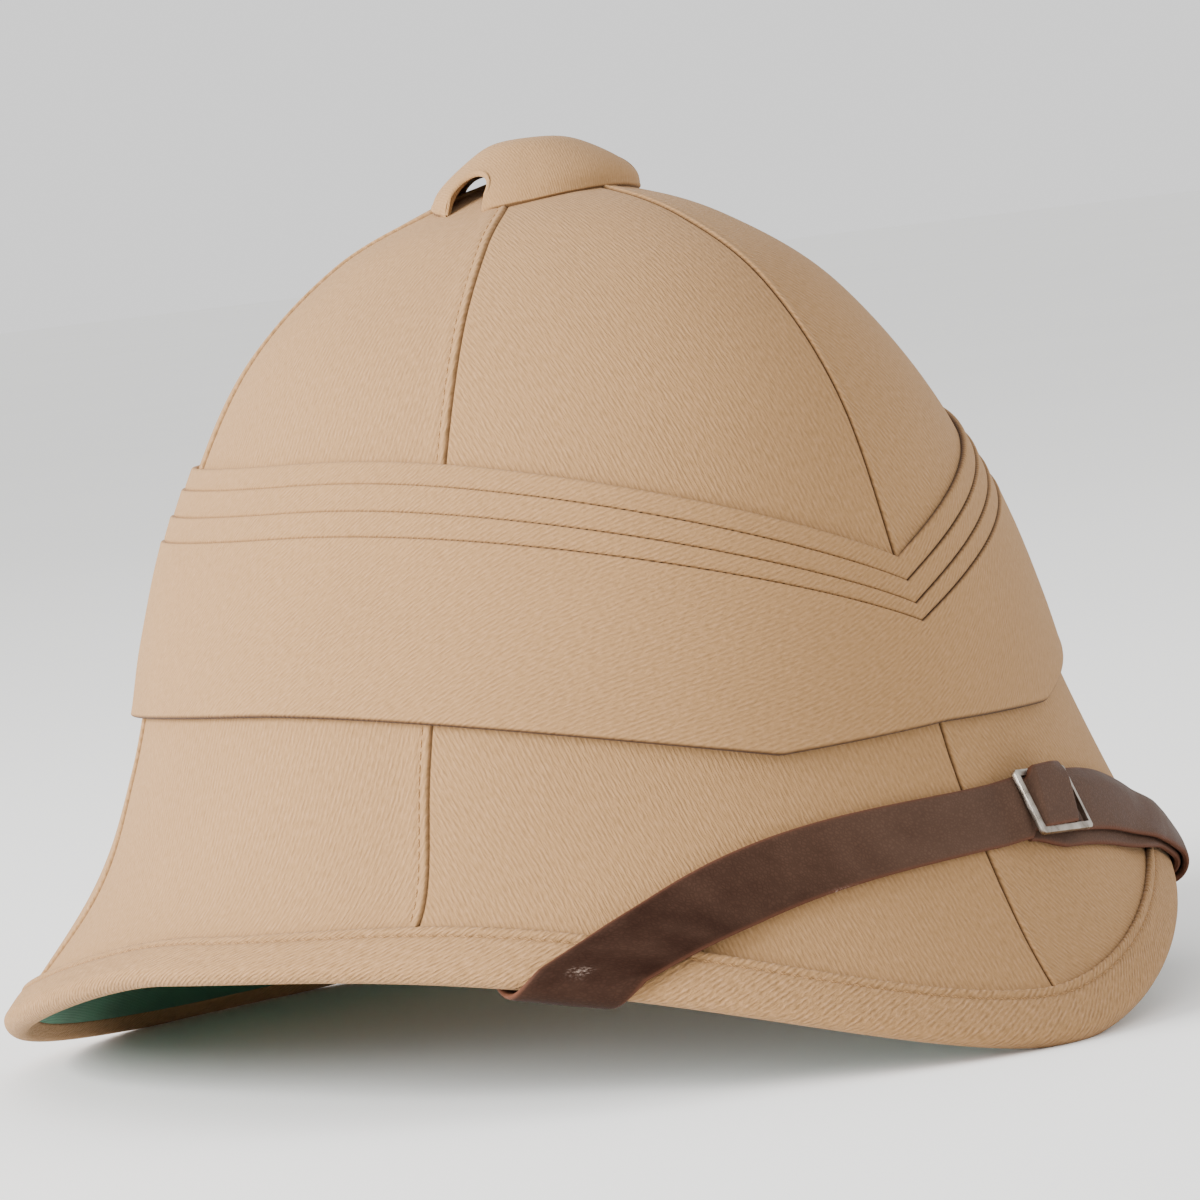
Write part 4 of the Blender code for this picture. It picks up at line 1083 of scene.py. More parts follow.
# The cap's height over the cloth, and the columns each side that its base is evened over
CAP_SEAT = 0.00015
CAP_SEAT_SPREAD = 4
# Half the width of an arch and of the fade beside it, in degrees round the cap
ARCH_HALF_ANGLE = 17.0
ARCH_FADE_ANGLE = 5.0
# An arch's outline: steps round it, and the share of its height where it starts to curve
ARCH_STEPS = 24
ARCH_SPRING = 0.35
# An arch's lip: sides, half width, rise, and how deep it sits in the cap's face
LIP_SIDES = 10
LIP_HALF = 0.00075
LIP_RISE = 0.00030
LIP_SUNK = 0.00015
# How far the cap's wall is tucked into the crown
CAP_TUCK = 0.0014
# The dome is fuller on one side: how far its shoulder swells there, and the direction
CAP_SHOULDER = 0.0026
CAP_SHOULDER_WAY = (0.75, -0.66)


def cap_radius(share, x, y):
    """Radius of the cap's dome at a share of its height, in a direction from its middle."""
    plain = CAP_RADIUS * (1 - share ** 2) ** (CAP_DOME_POWER - CAP_DOME_FLATNESS * share ** 2)
    facing = (x * CAP_SHOULDER_WAY[0] + y * CAP_SHOULDER_WAY[1]) / max(math.hypot(x, y), 1e-9)
    return plain + CAP_SHOULDER * max(facing, 0.0) * math.sin(math.pi * share)


def beside_arches(x, y):
    """0 at the cap's arched openings and 1 away from them."""
    turn = math.degrees(math.atan2(-x, -y))
    nearest = min(abs((turn - angle + 180) % 360 - 180) for angle in CAP_ARCH_ANGLES)
    return float(smooth_step((nearest - ARCH_HALF_ANGLE) / ARCH_FADE_ANGLE))


class HELMET_OT_cap(bpy.types.Operator):
    """Shape the domed ventilator cap on the crown and cut its arched openings"""
    bl_idname = "helmet.cap"
    bl_label = "Ventilator Cap"

    def execute(self, context):
        finishes = make_materials()
        crown = bpy.data.objects["crown_cloth"].data
        tree = BVHTree.FromPolygons([vertex.co for vertex in crown.vertices],
                                    [face.vertices for face in crown.polygons])
        centre = (0.0, -CAP_CENTRE_FORWARD)
        around = CAP_COLUMNS

        def seat(x, y):
            spot = tree.ray_cast(Vector((x, y, CROWN_HEIGHT * 2)), Vector((0, 0, -1)))[0]
            return spot.z + CAP_SEAT

        spots = [(centre[0] + CAP_RADIUS * math.sin(math.tau * k / around),
                  centre[1] + CAP_RADIUS * math.cos(math.tau * k / around)) for k in range(around)]
        rim = [seat(*spot) for spot in spots]
        near = range(-CAP_SEAT_SPREAD, CAP_SEAT_SPREAD + 1)
        rim = [sum(rim[(k + step) % around] for step in near) / len(near) for k in range(around)]
        mean = sum(rim) / around
        top = mean + CAP_HEIGHT

        def base_at(x, y):
            spot = math.atan2(x, y) % math.tau / math.tau * around
            low = int(spot) % around
            return rim[low] * (1 - spot % 1) + rim[(low + 1) % around] * (spot % 1)

        deselect()
        bpy.ops.mesh.primitive_uv_sphere_add(segments=around, ring_count=CAP_RINGS, radius=1.0,
                                             location=(0, 0, 0))
        piece = name_piece("ventilator_cap_cloth")
        edit_all(piece)
        bpy.ops.mesh.bisect(plane_co=(0, 0, 0.0001), plane_no=(0, 0, 1), clear_inner=True)
        bpy.ops.object.mode_set(mode="OBJECT")
        for vertex in piece.data.vertices:
            x, y, z = vertex.co
            share = min(z, 1.0) ** 1.5 if z > MM else 0.0
            turn = math.atan2(x, y)
            welt = float(np.interp(share * CAP_HEIGHT / MM, *CAP_WELT)) * MM * beside_arches(x, y)
            base = base_at(x, y)
            lumpy = (1 + CAP_LUMPS[0] * math.sin(3 * turn + 0.7) * (1 - share)
                     + CAP_LUMPS[1] * math.sin(5 * turn) * share * (1 - share))
            out = (cap_radius(share, x, y) + welt) * lumpy
            height = base + share * (top - base) if share else base - CAP_TUCK
            vertex.co = (centre[0] + out * math.sin(turn), centre[1] + out * math.cos(turn), height)
        wall = piece.modifiers.new("wall", "SOLIDIFY")
        wall.thickness = CAP_WALL
        wall.offset = -1.0
        cutters = [arch_cutter(angle, centre, mean) for angle in CAP_ARCH_ANGLES]
        select_only(*cutters)
        bpy.ops.object.join()
        cut = piece.modifiers.new("arches", "BOOLEAN")
        cut.operation = "DIFFERENCE"
        cut.solver = "MANIFOLD"
        cut.object = cutters[0]
        select_only(piece)
        for modifier in list(piece.modifiers):
            bpy.ops.object.modifier_apply(modifier=modifier.name)
        bpy.data.objects.remove(cutters[0], do_unlink=True)
        lips = [arch_lip(angle, centre, mean, top, base_at, finishes["cap"])
                for angle in CAP_ARCH_ANGLES]
        piece.data.materials.clear()
        piece.data.materials.append(finishes["cap"])
        select_only(piece, *lips)
        bpy.ops.object.join()
        unwrap_from_above(piece, centre)
        # The line where the cap's welt meets the crown is darkened with painted shade
        crease = piece.data.attributes.new("crease", "FLOAT", "POINT")
        for vertex in piece.data.vertices:
            x, y = vertex.co.x - centre[0], vertex.co.y - centre[1]
            outer = math.hypot(x, y) > CAP_RADIUS - 0.8 * MM
            dark = float(np.interp((vertex.co.z - base_at(x, y)) / MM, *CAP_FOOT_SHADE)) if outer else 0.0
            crease.data[vertex.index].value = dark * beside_arches(x, y)
        select_only(piece)
        bpy.ops.object.shade_smooth_by_angle(angle=math.radians(50))
        finish_piece(piece, "khaki_twill", "ventilator_cap")
        return {"FINISHED"}


def unwrap_from_above(piece, centre):
    """UVs in metres for a small dome, rolled out from its top."""
    mesh = piece.data
    for layer in list(mesh.uv_layers):
        mesh.uv_layers.remove(layer)
    layer = mesh.uv_layers.new(name="cloth")
    high = max(v.co.z for v in mesh.vertices)
    for loop in mesh.loops:
        x, y, z = mesh.vertices[loop.vertex_index].co
        x, y = x - centre[0], y - centre[1]
        flat = math.hypot(x, y)
        roll = (flat + 0.6 * (high - z)) / max(flat, 1e-6)
        layer.data[loop.index].uv = (x * roll, y * roll)


def arch_outline(foot):
    """An arch's outline as (aside, height) pairs, standing on a foot line below the cap's base."""
    half = CAP_ARCH_WIDTH / 2
    outline = [(-half, foot)]
    for k in range(ARCH_STEPS + 1):
        turn = math.pi * (1 - k / ARCH_STEPS)
        rise = ARCH_SPRING + (1 - ARCH_SPRING) * math.sin(turn)
        outline.append((half * math.cos(turn), CAP_ARCH_HEIGHT * rise))
    return outline + [(half, foot)]


def arch_ways(angle):
    """Outward and sideways directions of one arch of the cap."""
    forward = Vector((-math.sin(math.radians(angle)), -math.cos(math.radians(angle)), 0.0))
    return forward, Vector((forward.y, -forward.x, 0.0))


def arch_lip(angle, centre, base_height, top, base_at, finish):
    """A thin bound lip that follows one arch's outline on the cap's outer face."""
    forward, aside = arch_ways(angle)
    line = []
    for a, h in arch_outline(-1.5 * MM):
        reach = forward * CAP_RADIUS + aside * a
        base = base_at(reach.x, reach.y)
        share = min(max((base_height + h - base) / (top - base), 0.0), 1.0)
        out = math.sqrt(cap_radius(share, reach.x, reach.y) ** 2 - a ** 2) - LIP_SUNK
        line.append(Vector((*centre, base_height + h)) + forward * out + aside * a)
    points = []
    for k, spot in enumerate(line):
        along = (line[min(k + 1, len(line) - 1)] - line[max(k - 1, 0)]).normalized()
        across = along.cross(forward).normalized()
        over = across.cross(along)
        for s in range(LIP_SIDES):
            turn = math.tau * s / LIP_SIDES
            points.append(spot + across * (LIP_HALF * math.cos(turn))
                          + over * (LIP_RISE * math.sin(turn)))
    faces, uv = tube_net(len(line), LIP_SIDES, (0, 0.001), (0.0004, 0))
    made = add_piece("arch_lip", points, faces, [finish], uv, sharp=60)
    edit_all(made)
    turn_faces_out()
    bpy.ops.object.mode_set(mode="OBJECT")
    return made


def arch_cutter(angle, centre, base_height):
    """An arched prism for one opening in the cap's wall, from a plane extruded through it."""
    forward, aside = arch_ways(angle)
    base = Vector((*centre, base_height)) + forward * CAP_RADIUS * 0.5
    points = [base + aside * a + Vector((0, 0, h)) for a, h in arch_outline(-CAP_HEIGHT)]
    mesh = bpy.data.meshes.new("arch_cutter")
    mesh.from_pydata(points, [], [tuple(range(len(points)))])
    cutter = bpy.data.objects.new("arch_cutter", mesh)
    bpy.context.scene.collection.objects.link(cutter)
    edit_all(cutter)
    extrude(*(forward * CAP_RADIUS * 0.9))
    turn_faces_out()
    bpy.ops.object.mode_set(mode="OBJECT")
    return cutter


# ---- Chin strap ---------------------------------------------------------------------------------

# A pale scuff low on the near side and a frayed spot of the lower edge beside the buckle: angle,
# share of the width from the middle, and how far each reaches along and across
STRAP_SCUFFS = ((46.5, 0.12, 0.35, 0.05), (23.5, -0.5, 1.2, 0.016))
# Angle where the painted paler stretch ends, and how far it fades
LIT_STRETCH_END_ANGLE = 44.0
LIT_STRETCH_FADE_ANGLE = 40.0
# Size of the strap's rounded end section beside its full one
STRAP_END_SHARE = 0.93
# Share of the width from the middle where the upper edge starts to droop
DROOP_SHARE = 0.20
# Millimetres between the strap's sections, at its turns and the buckle and elsewhere
FINE_PACE = 0.5
PACE = 0.8
def wrap_points(angle, along, lift):
    """Points over the rim: along is the distance from the rim's edge, positive outside and
    negative inside, and lift is the height over the cloth there."""
    angle, along, lift = np.broadcast_arrays(np.asarray(angle, float), np.asarray(along, float),
                                             np.asarray(lift, float))
    turn = (1 - np.clip(along / EDGE_QUARTER, -1, 1)) * math.pi / 2
    round_edge = edge_points(SKIN, angle, turn, EDGE_RADIUS + lift)
    reach = EDGE_RADIUS + np.abs(along) - EDGE_QUARTER
    past_binding = reach - BINDING_WIDTH_OUTSIDE - BINDING_STEP_START
    over_binding = 1 - smooth_step(past_binding / BINDING_STEP_RUN)
    outside = SKIN.at(angle, reach, over_binding * BINDING_OUTER + lift)
    inside = SKIN.at(angle, reach, EDGE_CENTRE - EDGE_RADIUS - lift)
    on_edge = (np.abs(along) <= EDGE_QUARTER)[..., None]
    return np.where(on_edge, round_edge, np.where((along > 0)[..., None], outside, inside))


def strap_along(angle):
    """Distance of the strap's middle line from the rim's edge, at an angle from the front."""
    turn = abs(angle)
    if turn <= STRAP_RIM_ANGLE:
        return STRAP_FRONT_REACH * (1 - (turn / STRAP_RIM_ANGLE) ** 2)
    past = turn - STRAP_RIM_ANGLE
    whole = STUD_ANGLE - STRAP_RIM_ANGLE
    ease = (STRAP_RIM_SLOPE * whole - STUD_REACH) / whole ** 2
    return -STRAP_RIM_SLOPE * past + ease * past ** 2


def degree_length(angle):
    """Length of one degree along the strap at an angle from the front."""
    ends = wrap_points([-angle + 0.5, -angle - 0.5], strap_along(angle), 0.0)
    return float(np.linalg.norm(ends[0] - ends[1]))


BUCKLE_DEGREE = degree_length(BUCKLE_ANGLE)


def over_tail(angle):
    """0 where the strap lies on the cloth, 1 where it lies on its own doubled tail."""
    return float(smooth_step((-angle - TAIL_START_ANGLE + TAIL_RISE_LEAD) / TAIL_RISE_ANGLE))


def buckle_arch(angle):
    """0 where the strap lies flat and 1 where it is arched over the buckle's centre bar."""
    reach_of_arch = ARCH_SHARE * (BUCKLE_LENGTH / 2 - BUCKLE_BAR) / BUCKLE_DEGREE
    return float(smooth_step((1 - abs(-angle - BUCKLE_ANGLE) / reach_of_arch) * ARCH_STEEPNESS))


def strap_lift(angle):
    """Height of the chin strap's lower face: on the cloth, over its tail past the buckle, and
    arched over the buckle's centre bar."""
    return STRAP_GAP + over_tail(angle) * STRAP_SECOND_LAYER + BUCKLE_ARCH * buckle_arch(angle)


def strap_edges(angle):
    """The chin strap's lower and upper edge from its middle line: squeezed into the buckle's
    window, and bulging over its upper bar where it is arched."""
    window = BUCKLE_OUTER_WIDTH / 2 - BUCKLE_SIDE_BAR - 0.2 * MM
    arch = buckle_arch(angle)
    squeezed = float(smooth_step(arch / 0.08))
    narrow = squeezed * (STRAP_WIDTH / 2 - window)
    over_bar = float(smooth_step((arch - 0.45) / 0.5))
    upper = STRAP_WIDTH / 2 - narrow * (1 - over_bar) + BULGE_OVER_BAR * over_bar
    return narrow - STRAP_WIDTH / 2, upper


def strap_section(angle, lift, shift, edges, droop, shares, low, high):
    """One closed cross-section of a strap: points of its lower and its upper face, from its
    edges across the width and the shares of its thickness."""
    step = 0.25
    centre = strap_along(angle)
    ends = wrap_points([angle + step, angle - step], centre, lift)
    per_degree = float(np.linalg.norm(ends[0] - ends[1])) / (2 * step)
    climb = strap_along(angle + step) - strap_along(angle - step)
    tangent = Vector((2 * step * per_degree, climb)).normalized()
    square = Vector((-tangent.y, tangent.x))
    level = Vector((-math.copysign(1.0, tangent.y * angle if angle else 1.0), 0.0))
    if square.x * level.x < 0:
        level = -level
    near_rim = 1 - float(smooth_step((abs(centre) - STRAP_TURN_REACH) / STRAP_TURN_RUN))
    direction = (square * (1 - near_rim) + level * near_rim).normalized()
    across = (edges[0] + (shares + 0.5) * (edges[1] - edges[0])) / abs(direction.dot(square))
    offset_angle = angle + direction.x * across / per_degree
    offset_along = centre + direction.y * across - shift * (1 - near_rim)
    lift = lift - droop * (1 - near_rim) * smooth_step((shares - DROOP_SHARE) / (0.5 - DROOP_SHARE))
    lower = wrap_points(offset_angle, offset_along, lift + low * STRAP_THICKNESS)
    upper = wrap_points(offset_angle, offset_along, lift + high * STRAP_THICKNESS)
    return lower, upper


def strap_piece(name, node, first, last, lift_rule, shift_rule, edge_rule, droop_rule, finish,
                scuffs):
    """A leather strap skinned through closely set sections, with rounded edges and ends."""
    shares = np.concatenate([[-0.5, -0.494, -0.48, -0.455, -0.41], np.linspace(-0.34, 0.34, 9),
                             [0.41, 0.455, 0.48, 0.494, 0.5]])
    bow = (1 - np.abs(2 * shares) ** 14) ** 0.4
    swell = 0.06 * np.cos(shares * math.pi) ** 2
    low = 0.5 - 0.5 * bow
    high = 0.5 + 0.5 * bow + swell
    edge = np.clip((np.abs(2 * shares) - 0.90) / 0.10, 0, 1)
    angles = [first]
    while angles[-1] < last:
        here = angles[-1]
        fine = abs(strap_along(here)) < 0.02 or abs(-here - BUCKLE_ANGLE) < 6
        ends = wrap_points([here, here + 0.2], [strap_along(here), strap_along(here + 0.2)], MM)
        degree = float(np.linalg.norm(ends[1] - ends[0])) / 0.2
        angles.append(min(last, here + (FINE_PACE if fine else PACE) * MM / degree))
    sections = []
    for angle in angles:
        lower, upper = strap_section(angle, lift_rule(angle), shift_rule(angle), edge_rule(angle),
                                     droop_rule(angle), shares, low, high)
        sections.append(np.concatenate([lower, upper[::-1]]))
    points = np.array(sections)
    u = arc_length(points.mean(axis=1))
    for end in (0, -1):
        centre = points[end].mean(axis=0)
        points[end] = centre + (points[end] - centre) * STRAP_END_SHARE
    rows, columns = points.shape[:2]
    v = np.concatenate([shares, 0.2 + shares[::-1]]) * STRAP_WIDTH
    along = np.broadcast_to(u[:, None], (rows, columns))
    v_left, v_right = (np.broadcast_to(side, (rows, columns)) for side in (v, np.roll(v, -1)))
    uv = net_uv(along, along, v_left, v_right)
    faces = net_faces(rows, columns)
    faces += [tuple(range(columns)), tuple(range((rows - 1) * columns, rows * columns))[::-1]]
    uv = np.vstack([uv, [(0.0, s) for s in v], [(u[-1], s) for s in v[::-1]]])
    edges = np.broadcast_to(np.concatenate([edge, edge[::-1]]), (rows, columns))
    flat_angle = np.array(angles)[:, None]
    flat_share = np.concatenate([shares, shares[::-1]])[None, :]
    scuffed = np.zeros((rows, columns))
    for place, share, spread_angle, spread_share in scuffs:
        away = (((flat_angle - place) / spread_angle) ** 2
                + ((flat_share - share) / spread_share) ** 2)
        scuffed = np.maximum(scuffed, np.exp(-away))
    wear = smooth_step((LIT_STRETCH_END_ANGLE - flat_angle) / LIT_STRETCH_FADE_ANGLE)
    wear = np.broadcast_to(wear, (rows, columns))
    piece = add_piece(name, points.reshape(-1, 3), faces, [finish], uv,
                      {"edge": edges, "scuff": scuffed, "wear": wear}, sharp=60)
    mesh = bmesh.new()
    mesh.from_mesh(piece.data)
    bmesh.ops.recalc_face_normals(mesh, faces=mesh.faces[:])
    if mesh.calc_volume(signed=True) < 0:
        bmesh.ops.reverse_faces(mesh, faces=mesh.faces[:])
    mesh.to_mesh(piece.data)
    mesh.free()
    finish_piece(piece, "strap_leather", node)
class HELMET_OT_strap(bpy.types.Operator):
    """Lay the leather chin strap over the peak and round the rim, with its doubled tail"""
    bl_idname = "helmet.strap"
    bl_label = "Chin Strap"

    def execute(self, context):
        leather = make_materials()["leather"]
        half = STRAP_WIDTH / 2
        end = STUD_ANGLE + STRAP_END / degree_length(STUD_ANGLE)

        def tail_shift(angle):
            return TAIL_SHIFT * float(smooth_step((-angle - TAIL_START_ANGLE) / TAIL_SHIFT_ANGLE))

        strap_piece("chin_strap_leather", "chin_strap", -end, end, strap_lift, lambda angle: 0.0,
                    strap_edges, lambda angle: UPPER_EDGE_DROOP * over_tail(angle + 9.0), leather,
                    STRAP_SCUFFS)
        strap_piece("strap_tail_leather", "strap_tail", -end, -TAIL_START_ANGLE,
                    lambda angle: STRAP_GAP, tail_shift, lambda angle: (-half, half),
                    lambda angle: 0.0, leather, ())
        return {"FINISHED"}


# ---- Buckle and studs ---------------------------------------------------------------------------

BUCKLE_THICKNESS = 0.9 * BUCKLE_BAR
BUCKLE_CORNER = 0.0011
BUCKLE_EDGE = 0.00032
POST_RADIUS = 0.4 * BUCKLE_BAR
POST_EDGE = 0.00015
# Where a stud's shank starts over the lining
STUD_SUNK = 0.0003
# The dome of a stud's head: share of its height that each ring rises, and the ring's share of width
STUD_DOME = ((0.22, 0.93), (0.13, 0.72), (0.05, 0.4))
STUD_WALL_SHARE = 0.6

def buckle_place():
    """The buckle's place as a matrix: along the strap, across it and off the cloth."""
    half = BUCKLE_LENGTH / 2 - BUCKLE_BAR / 2
    half_angle = half / BUCKLE_DEGREE
    ends = []
    for angle in (-BUCKLE_ANGLE - half_angle, -BUCKLE_ANGLE + half_angle):
        top = strap_lift(angle) + STRAP_THICKNESS
        ends.append(Vector(wrap_points(angle, strap_along(angle), top)))
    along = (ends[1] - ends[0]).normalized()
    centre = strap_along(BUCKLE_ANGLE)
    low = Vector(wrap_points(-BUCKLE_ANGLE, centre - STRAP_WIDTH / 2, 0.0))
    high = Vector(wrap_points(-BUCKLE_ANGLE, centre + STRAP_WIDTH / 2, 0.0))
    across = high - low
    across = (across - along * across.dot(along)).normalized()
    normal = along.cross(across).normalized()
    lifted = Vector(wrap_points(-BUCKLE_ANGLE, centre, STRAP_WIDTH))
    if normal.dot(lifted - Vector(wrap_points(-BUCKLE_ANGLE, centre, 0.0))) < 0:
        normal = -normal
        across = -across
    middle = (ends[0] + ends[1]) / 2 + normal * (BUCKLE_BAR / 2 + STRAP_LAYER_GAP)
    turn = Matrix((along, across, normal)).transposed().to_4x4()
    lean, twist = math.radians(BUCKLE_LEAN), math.radians(BUCKLE_TURN)
    leaning = Matrix.Rotation(lean, 4, "X") @ Matrix.Rotation(twist, 4, "Z")
    return Matrix.Translation(middle) @ turn @ leaning


def bake_place(piece, place):
    """Move a piece's mesh to its place and leave the object at the origin."""
    piece.matrix_world = place
    select_only(piece)
    bpy.ops.object.transform_apply(location=True, rotation=True, scale=True)


class HELMET_OT_buckle(bpy.types.Operator):
    """Make the flat slide buckle with its centre bar and the two strap studs"""
    bl_idname = "helmet.buckle"
    bl_label = "Buckle and Studs"

    def execute(self, context):
        finishes = make_materials()
        length, width, bar = BUCKLE_LENGTH, BUCKLE_OUTER_WIDTH, BUCKLE_SIDE_BAR
        deselect()
        bpy.ops.mesh.primitive_plane_add(size=1.0, location=(0, 0, 0))
        piece = name_piece("slide_buckle_steel")
        piece.scale = (length, width, 1.0)
        bpy.ops.object.transform_apply(location=False, rotation=False, scale=True)
        edit_all(piece)
        bpy.ops.mesh.select_mode(type="FACE")
        bpy.ops.mesh.select_all(action="SELECT")
        bpy.ops.mesh.inset(thickness=bar, depth=0.0)
        bpy.ops.mesh.delete(type="FACE")
        bpy.ops.mesh.select_all(action="SELECT")
        extrude(0, 0, BUCKLE_THICKNESS)
        turn_faces_out()
        bpy.ops.mesh.select_mode(type="EDGE")
        bpy.ops.mesh.select_all(action="DESELECT")
        mesh = bmesh.from_edit_mesh(piece.data)
        for edge in mesh.edges:
            ends = [vertex.co for vertex in edge.verts]
            upright = abs(ends[0].z - ends[1].z) > BUCKLE_BAR / 2
            edge.select_set(upright and abs(ends[0].x) > length / 2 - bar / 2)
        bmesh.update_edit_mesh(piece.data)
        bpy.ops.mesh.bevel(offset=BUCKLE_CORNER, segments=4, affect="EDGES")
        bpy.ops.object.mode_set(mode="OBJECT")
        # The bar on the wearer's left is filed thinner
        for vertex in piece.data.vertices:
            if abs(vertex.co.x + length / 2 - bar) < 0.1 * MM:
                vertex.co.x = BUCKLE_FAR_BAR - length / 2
        piece.data.transform(Matrix.Translation((0, 0, -BUCKLE_THICKNESS / 2)))
        round_off(piece, BUCKLE_EDGE, 3)
        deselect()
        bpy.ops.mesh.primitive_cylinder_add(vertices=20, radius=POST_RADIUS, depth=width - bar,
                                            location=(0, 0, 0), rotation=(math.pi / 2, 0, 0))
        post = context.object
        bpy.ops.object.transform_apply(location=False, rotation=True, scale=True)
        round_off(post, POST_EDGE, 2)
        select_only(piece, post)
        bpy.ops.object.join()
        bake_place(piece, buckle_place())
        dress_metal(piece, finishes["steel"])
        finish_piece(piece, "buckle_steel", "slide_buckle")
        make_stud("strap_stud_right", 1, STRAP_GAP, finishes["steel"])
        make_stud("strap_stud_left", -1, STRAP_GAP + STRAP_SECOND_LAYER, finishes["steel"])
        return {"FINISHED"}


def round_off(piece, width, segments):
    """A small bevel on every crisp edge, applied."""
    select_only(piece)
    soft = piece.modifiers.new("round", "BEVEL")
    soft.width = width
    soft.segments = segments
    soft.limit_method = "ANGLE"
    soft.angle_limit = math.radians(40)
    bpy.ops.object.modifier_apply(modifier=soft.name)


def dress_metal(piece, finish):
    """Give a metal piece its finish and smooth it except at its crisp edges."""
    piece.data.materials.clear()
    piece.data.materials.append(finish)
    select_only(piece)
    bpy.ops.object.shade_smooth_by_angle(angle=math.radians(35))


def make_stud(node, side, under, finish):
    """A stud: a turned head with a low dome over a plain shank through the strap's end."""
    angle = side * STUD_ANGLE
    low = Vector(wrap_points(angle, -STUD_REACH, STUD_SUNK))
    up = (Vector(wrap_points(angle, -STUD_REACH, MM + STUD_SUNK)) - low).normalized()
    head = under + STRAP_THICKNESS + STRAP_LAYER_GAP - STUD_SUNK
    deselect()
    bpy.ops.mesh.primitive_cylinder_add(vertices=48, radius=STUD_SHANK_RADIUS, depth=head,
                                        location=(0, 0, head / 2))
    piece = name_piece(node + "_steel")
    bpy.ops.object.transform_apply(location=True, rotation=False, scale=False)
    edit_all(piece)
    bpy.ops.mesh.select_mode(type="FACE")
    bpy.ops.mesh.select_all(action="DESELECT")
    mesh = bmesh.from_edit_mesh(piece.data)
    for face in mesh.faces:
        face.select_set(face.normal.z > 0.9)
    bmesh.update_edit_mesh(piece.data)
    grow = STUD_HEAD_RADIUS / STUD_SHANK_RADIUS
    centre = (0.0, 0.0, head)
    extrude(0, 0, 0)
    bpy.ops.transform.resize(value=(grow, grow, 1.0), center_override=centre)
    extrude(0, 0, STUD_HEAD_HEIGHT * STUD_WALL_SHARE)
    for rise, share in STUD_DOME:
        extrude(0, 0, STUD_HEAD_HEIGHT * rise)
        bpy.ops.transform.resize(value=(share, share, 1.0), center_override=centre)
    bpy.ops.object.mode_set(mode="OBJECT")
    bake_place(piece, Matrix.Translation(low) @ up.to_track_quat("Z", "Y").to_matrix().to_4x4())
    dress_metal(piece, finish)
    finish_piece(piece, "buckle_steel", node)


# ---- Studio -------------------------------------------------------------------------------------

# Each softbox with its place and its size
LIGHTS = (("key", (-2.0, 0.70, 1.0), 1.2), ("fill", (1.5, -1.7, 0.9), 1.4),
          ("top", (0.1, 0.5, 2.0), 1.6), ("low", (-1.5, 0.35, 0.06), 0.5))
LIGHT_AIM_HEIGHT = 0.1
SENSOR_WIDTH = 36.0
class HELMET_OT_stage(bpy.types.Operator):
    """Set up the pale floor, the soft studio light and the camera"""
    bl_idname = "helmet.stage"
    bl_label = "Studio"

    def execute(self, context):
        finishes = make_materials()
        studio = context.scene.helmet_studio
        deselect()
        bpy.ops.mesh.primitive_circle_add(vertices=96, radius=studio.floor_radius, fill_type="NGON",
                                          location=(0, 0, 0))
        floor = name_piece("studio_floor")
        floor.data.materials.append(finishes["floor"])
        world = bpy.data.worlds.new("soft room")
        world.use_nodes = True
        room = world.node_tree.nodes["Background"].inputs
        room["Color"].default_value = (*linear("#FFFFFF"), 1.0)
        room["Strength"].default_value = studio.room_light
        context.scene.world = world
        for name, place, size in LIGHTS:
            deselect()
            bpy.ops.object.light_add(type="AREA", location=place)
            lamp = context.object
            lamp.name = f"{name} softbox"
            lamp.data.size = size
            lamp.data.energy = getattr(studio, f"{name}_power")
            aim = Vector((0, 0, LIGHT_AIM_HEIGHT)) - Vector(place)
            lamp.rotation_euler = aim.to_track_quat("-Z", "Y").to_euler()
        deselect()
        bpy.ops.object.camera_add()
        camera = context.object
        camera.name = "camera"
        camera.data.lens = studio.lens
        camera.data.sensor_width = SENSOR_WIDTH
        settled = Vector((0, 0, SETTLE["rise"]))
        place = Vector(studio.camera_place) + settled
        ahead = (Vector(studio.camera_target) + settled - place).normalized()
        right = ahead.cross(Vector((0, 0, 1))).normalized()
        axes = Matrix((right, right.cross(ahead), -ahead)).transposed()
        turn = axes @ Matrix.Rotation(-studio.camera_roll, 3, "Z")
        camera.matrix_world = Matrix.Translation(place) @ turn.to_4x4()
        context.scene.camera = camera
        return {"FINISHED"}


# ---- Settings, panel and run --------------------------------------------------------------------

def colour(name, description, code):
    """A colour setting with its default from sRGB hex."""
    return FloatVectorProperty(name=name, description=description, default=linear(code),
                               subtype="COLOR", size=3, min=0.0, max=1.0)


def number(name, description, value, unit="NONE"):
    """A number setting."""
    return FloatProperty(name=name, description=description, default=value, unit=unit)


def place(name, description, value):
    """A setting for a place, in metres."""
    return FloatVectorProperty(name=name, description=description, default=value,
                               subtype="TRANSLATION", unit="LENGTH")


class HelmetSizes(bpy.types.PropertyGroup):
    stitch_length: number("Stitch Length", "Length of one stitch", 0.0023, "LENGTH")
    stitch_gap: number("Stitch Gap", "Space between stitches", 0.0007, "LENGTH")
    thread_radius: number("Thread Radius", "Half the sewing thread's thickness", 0.00022, "LENGTH")


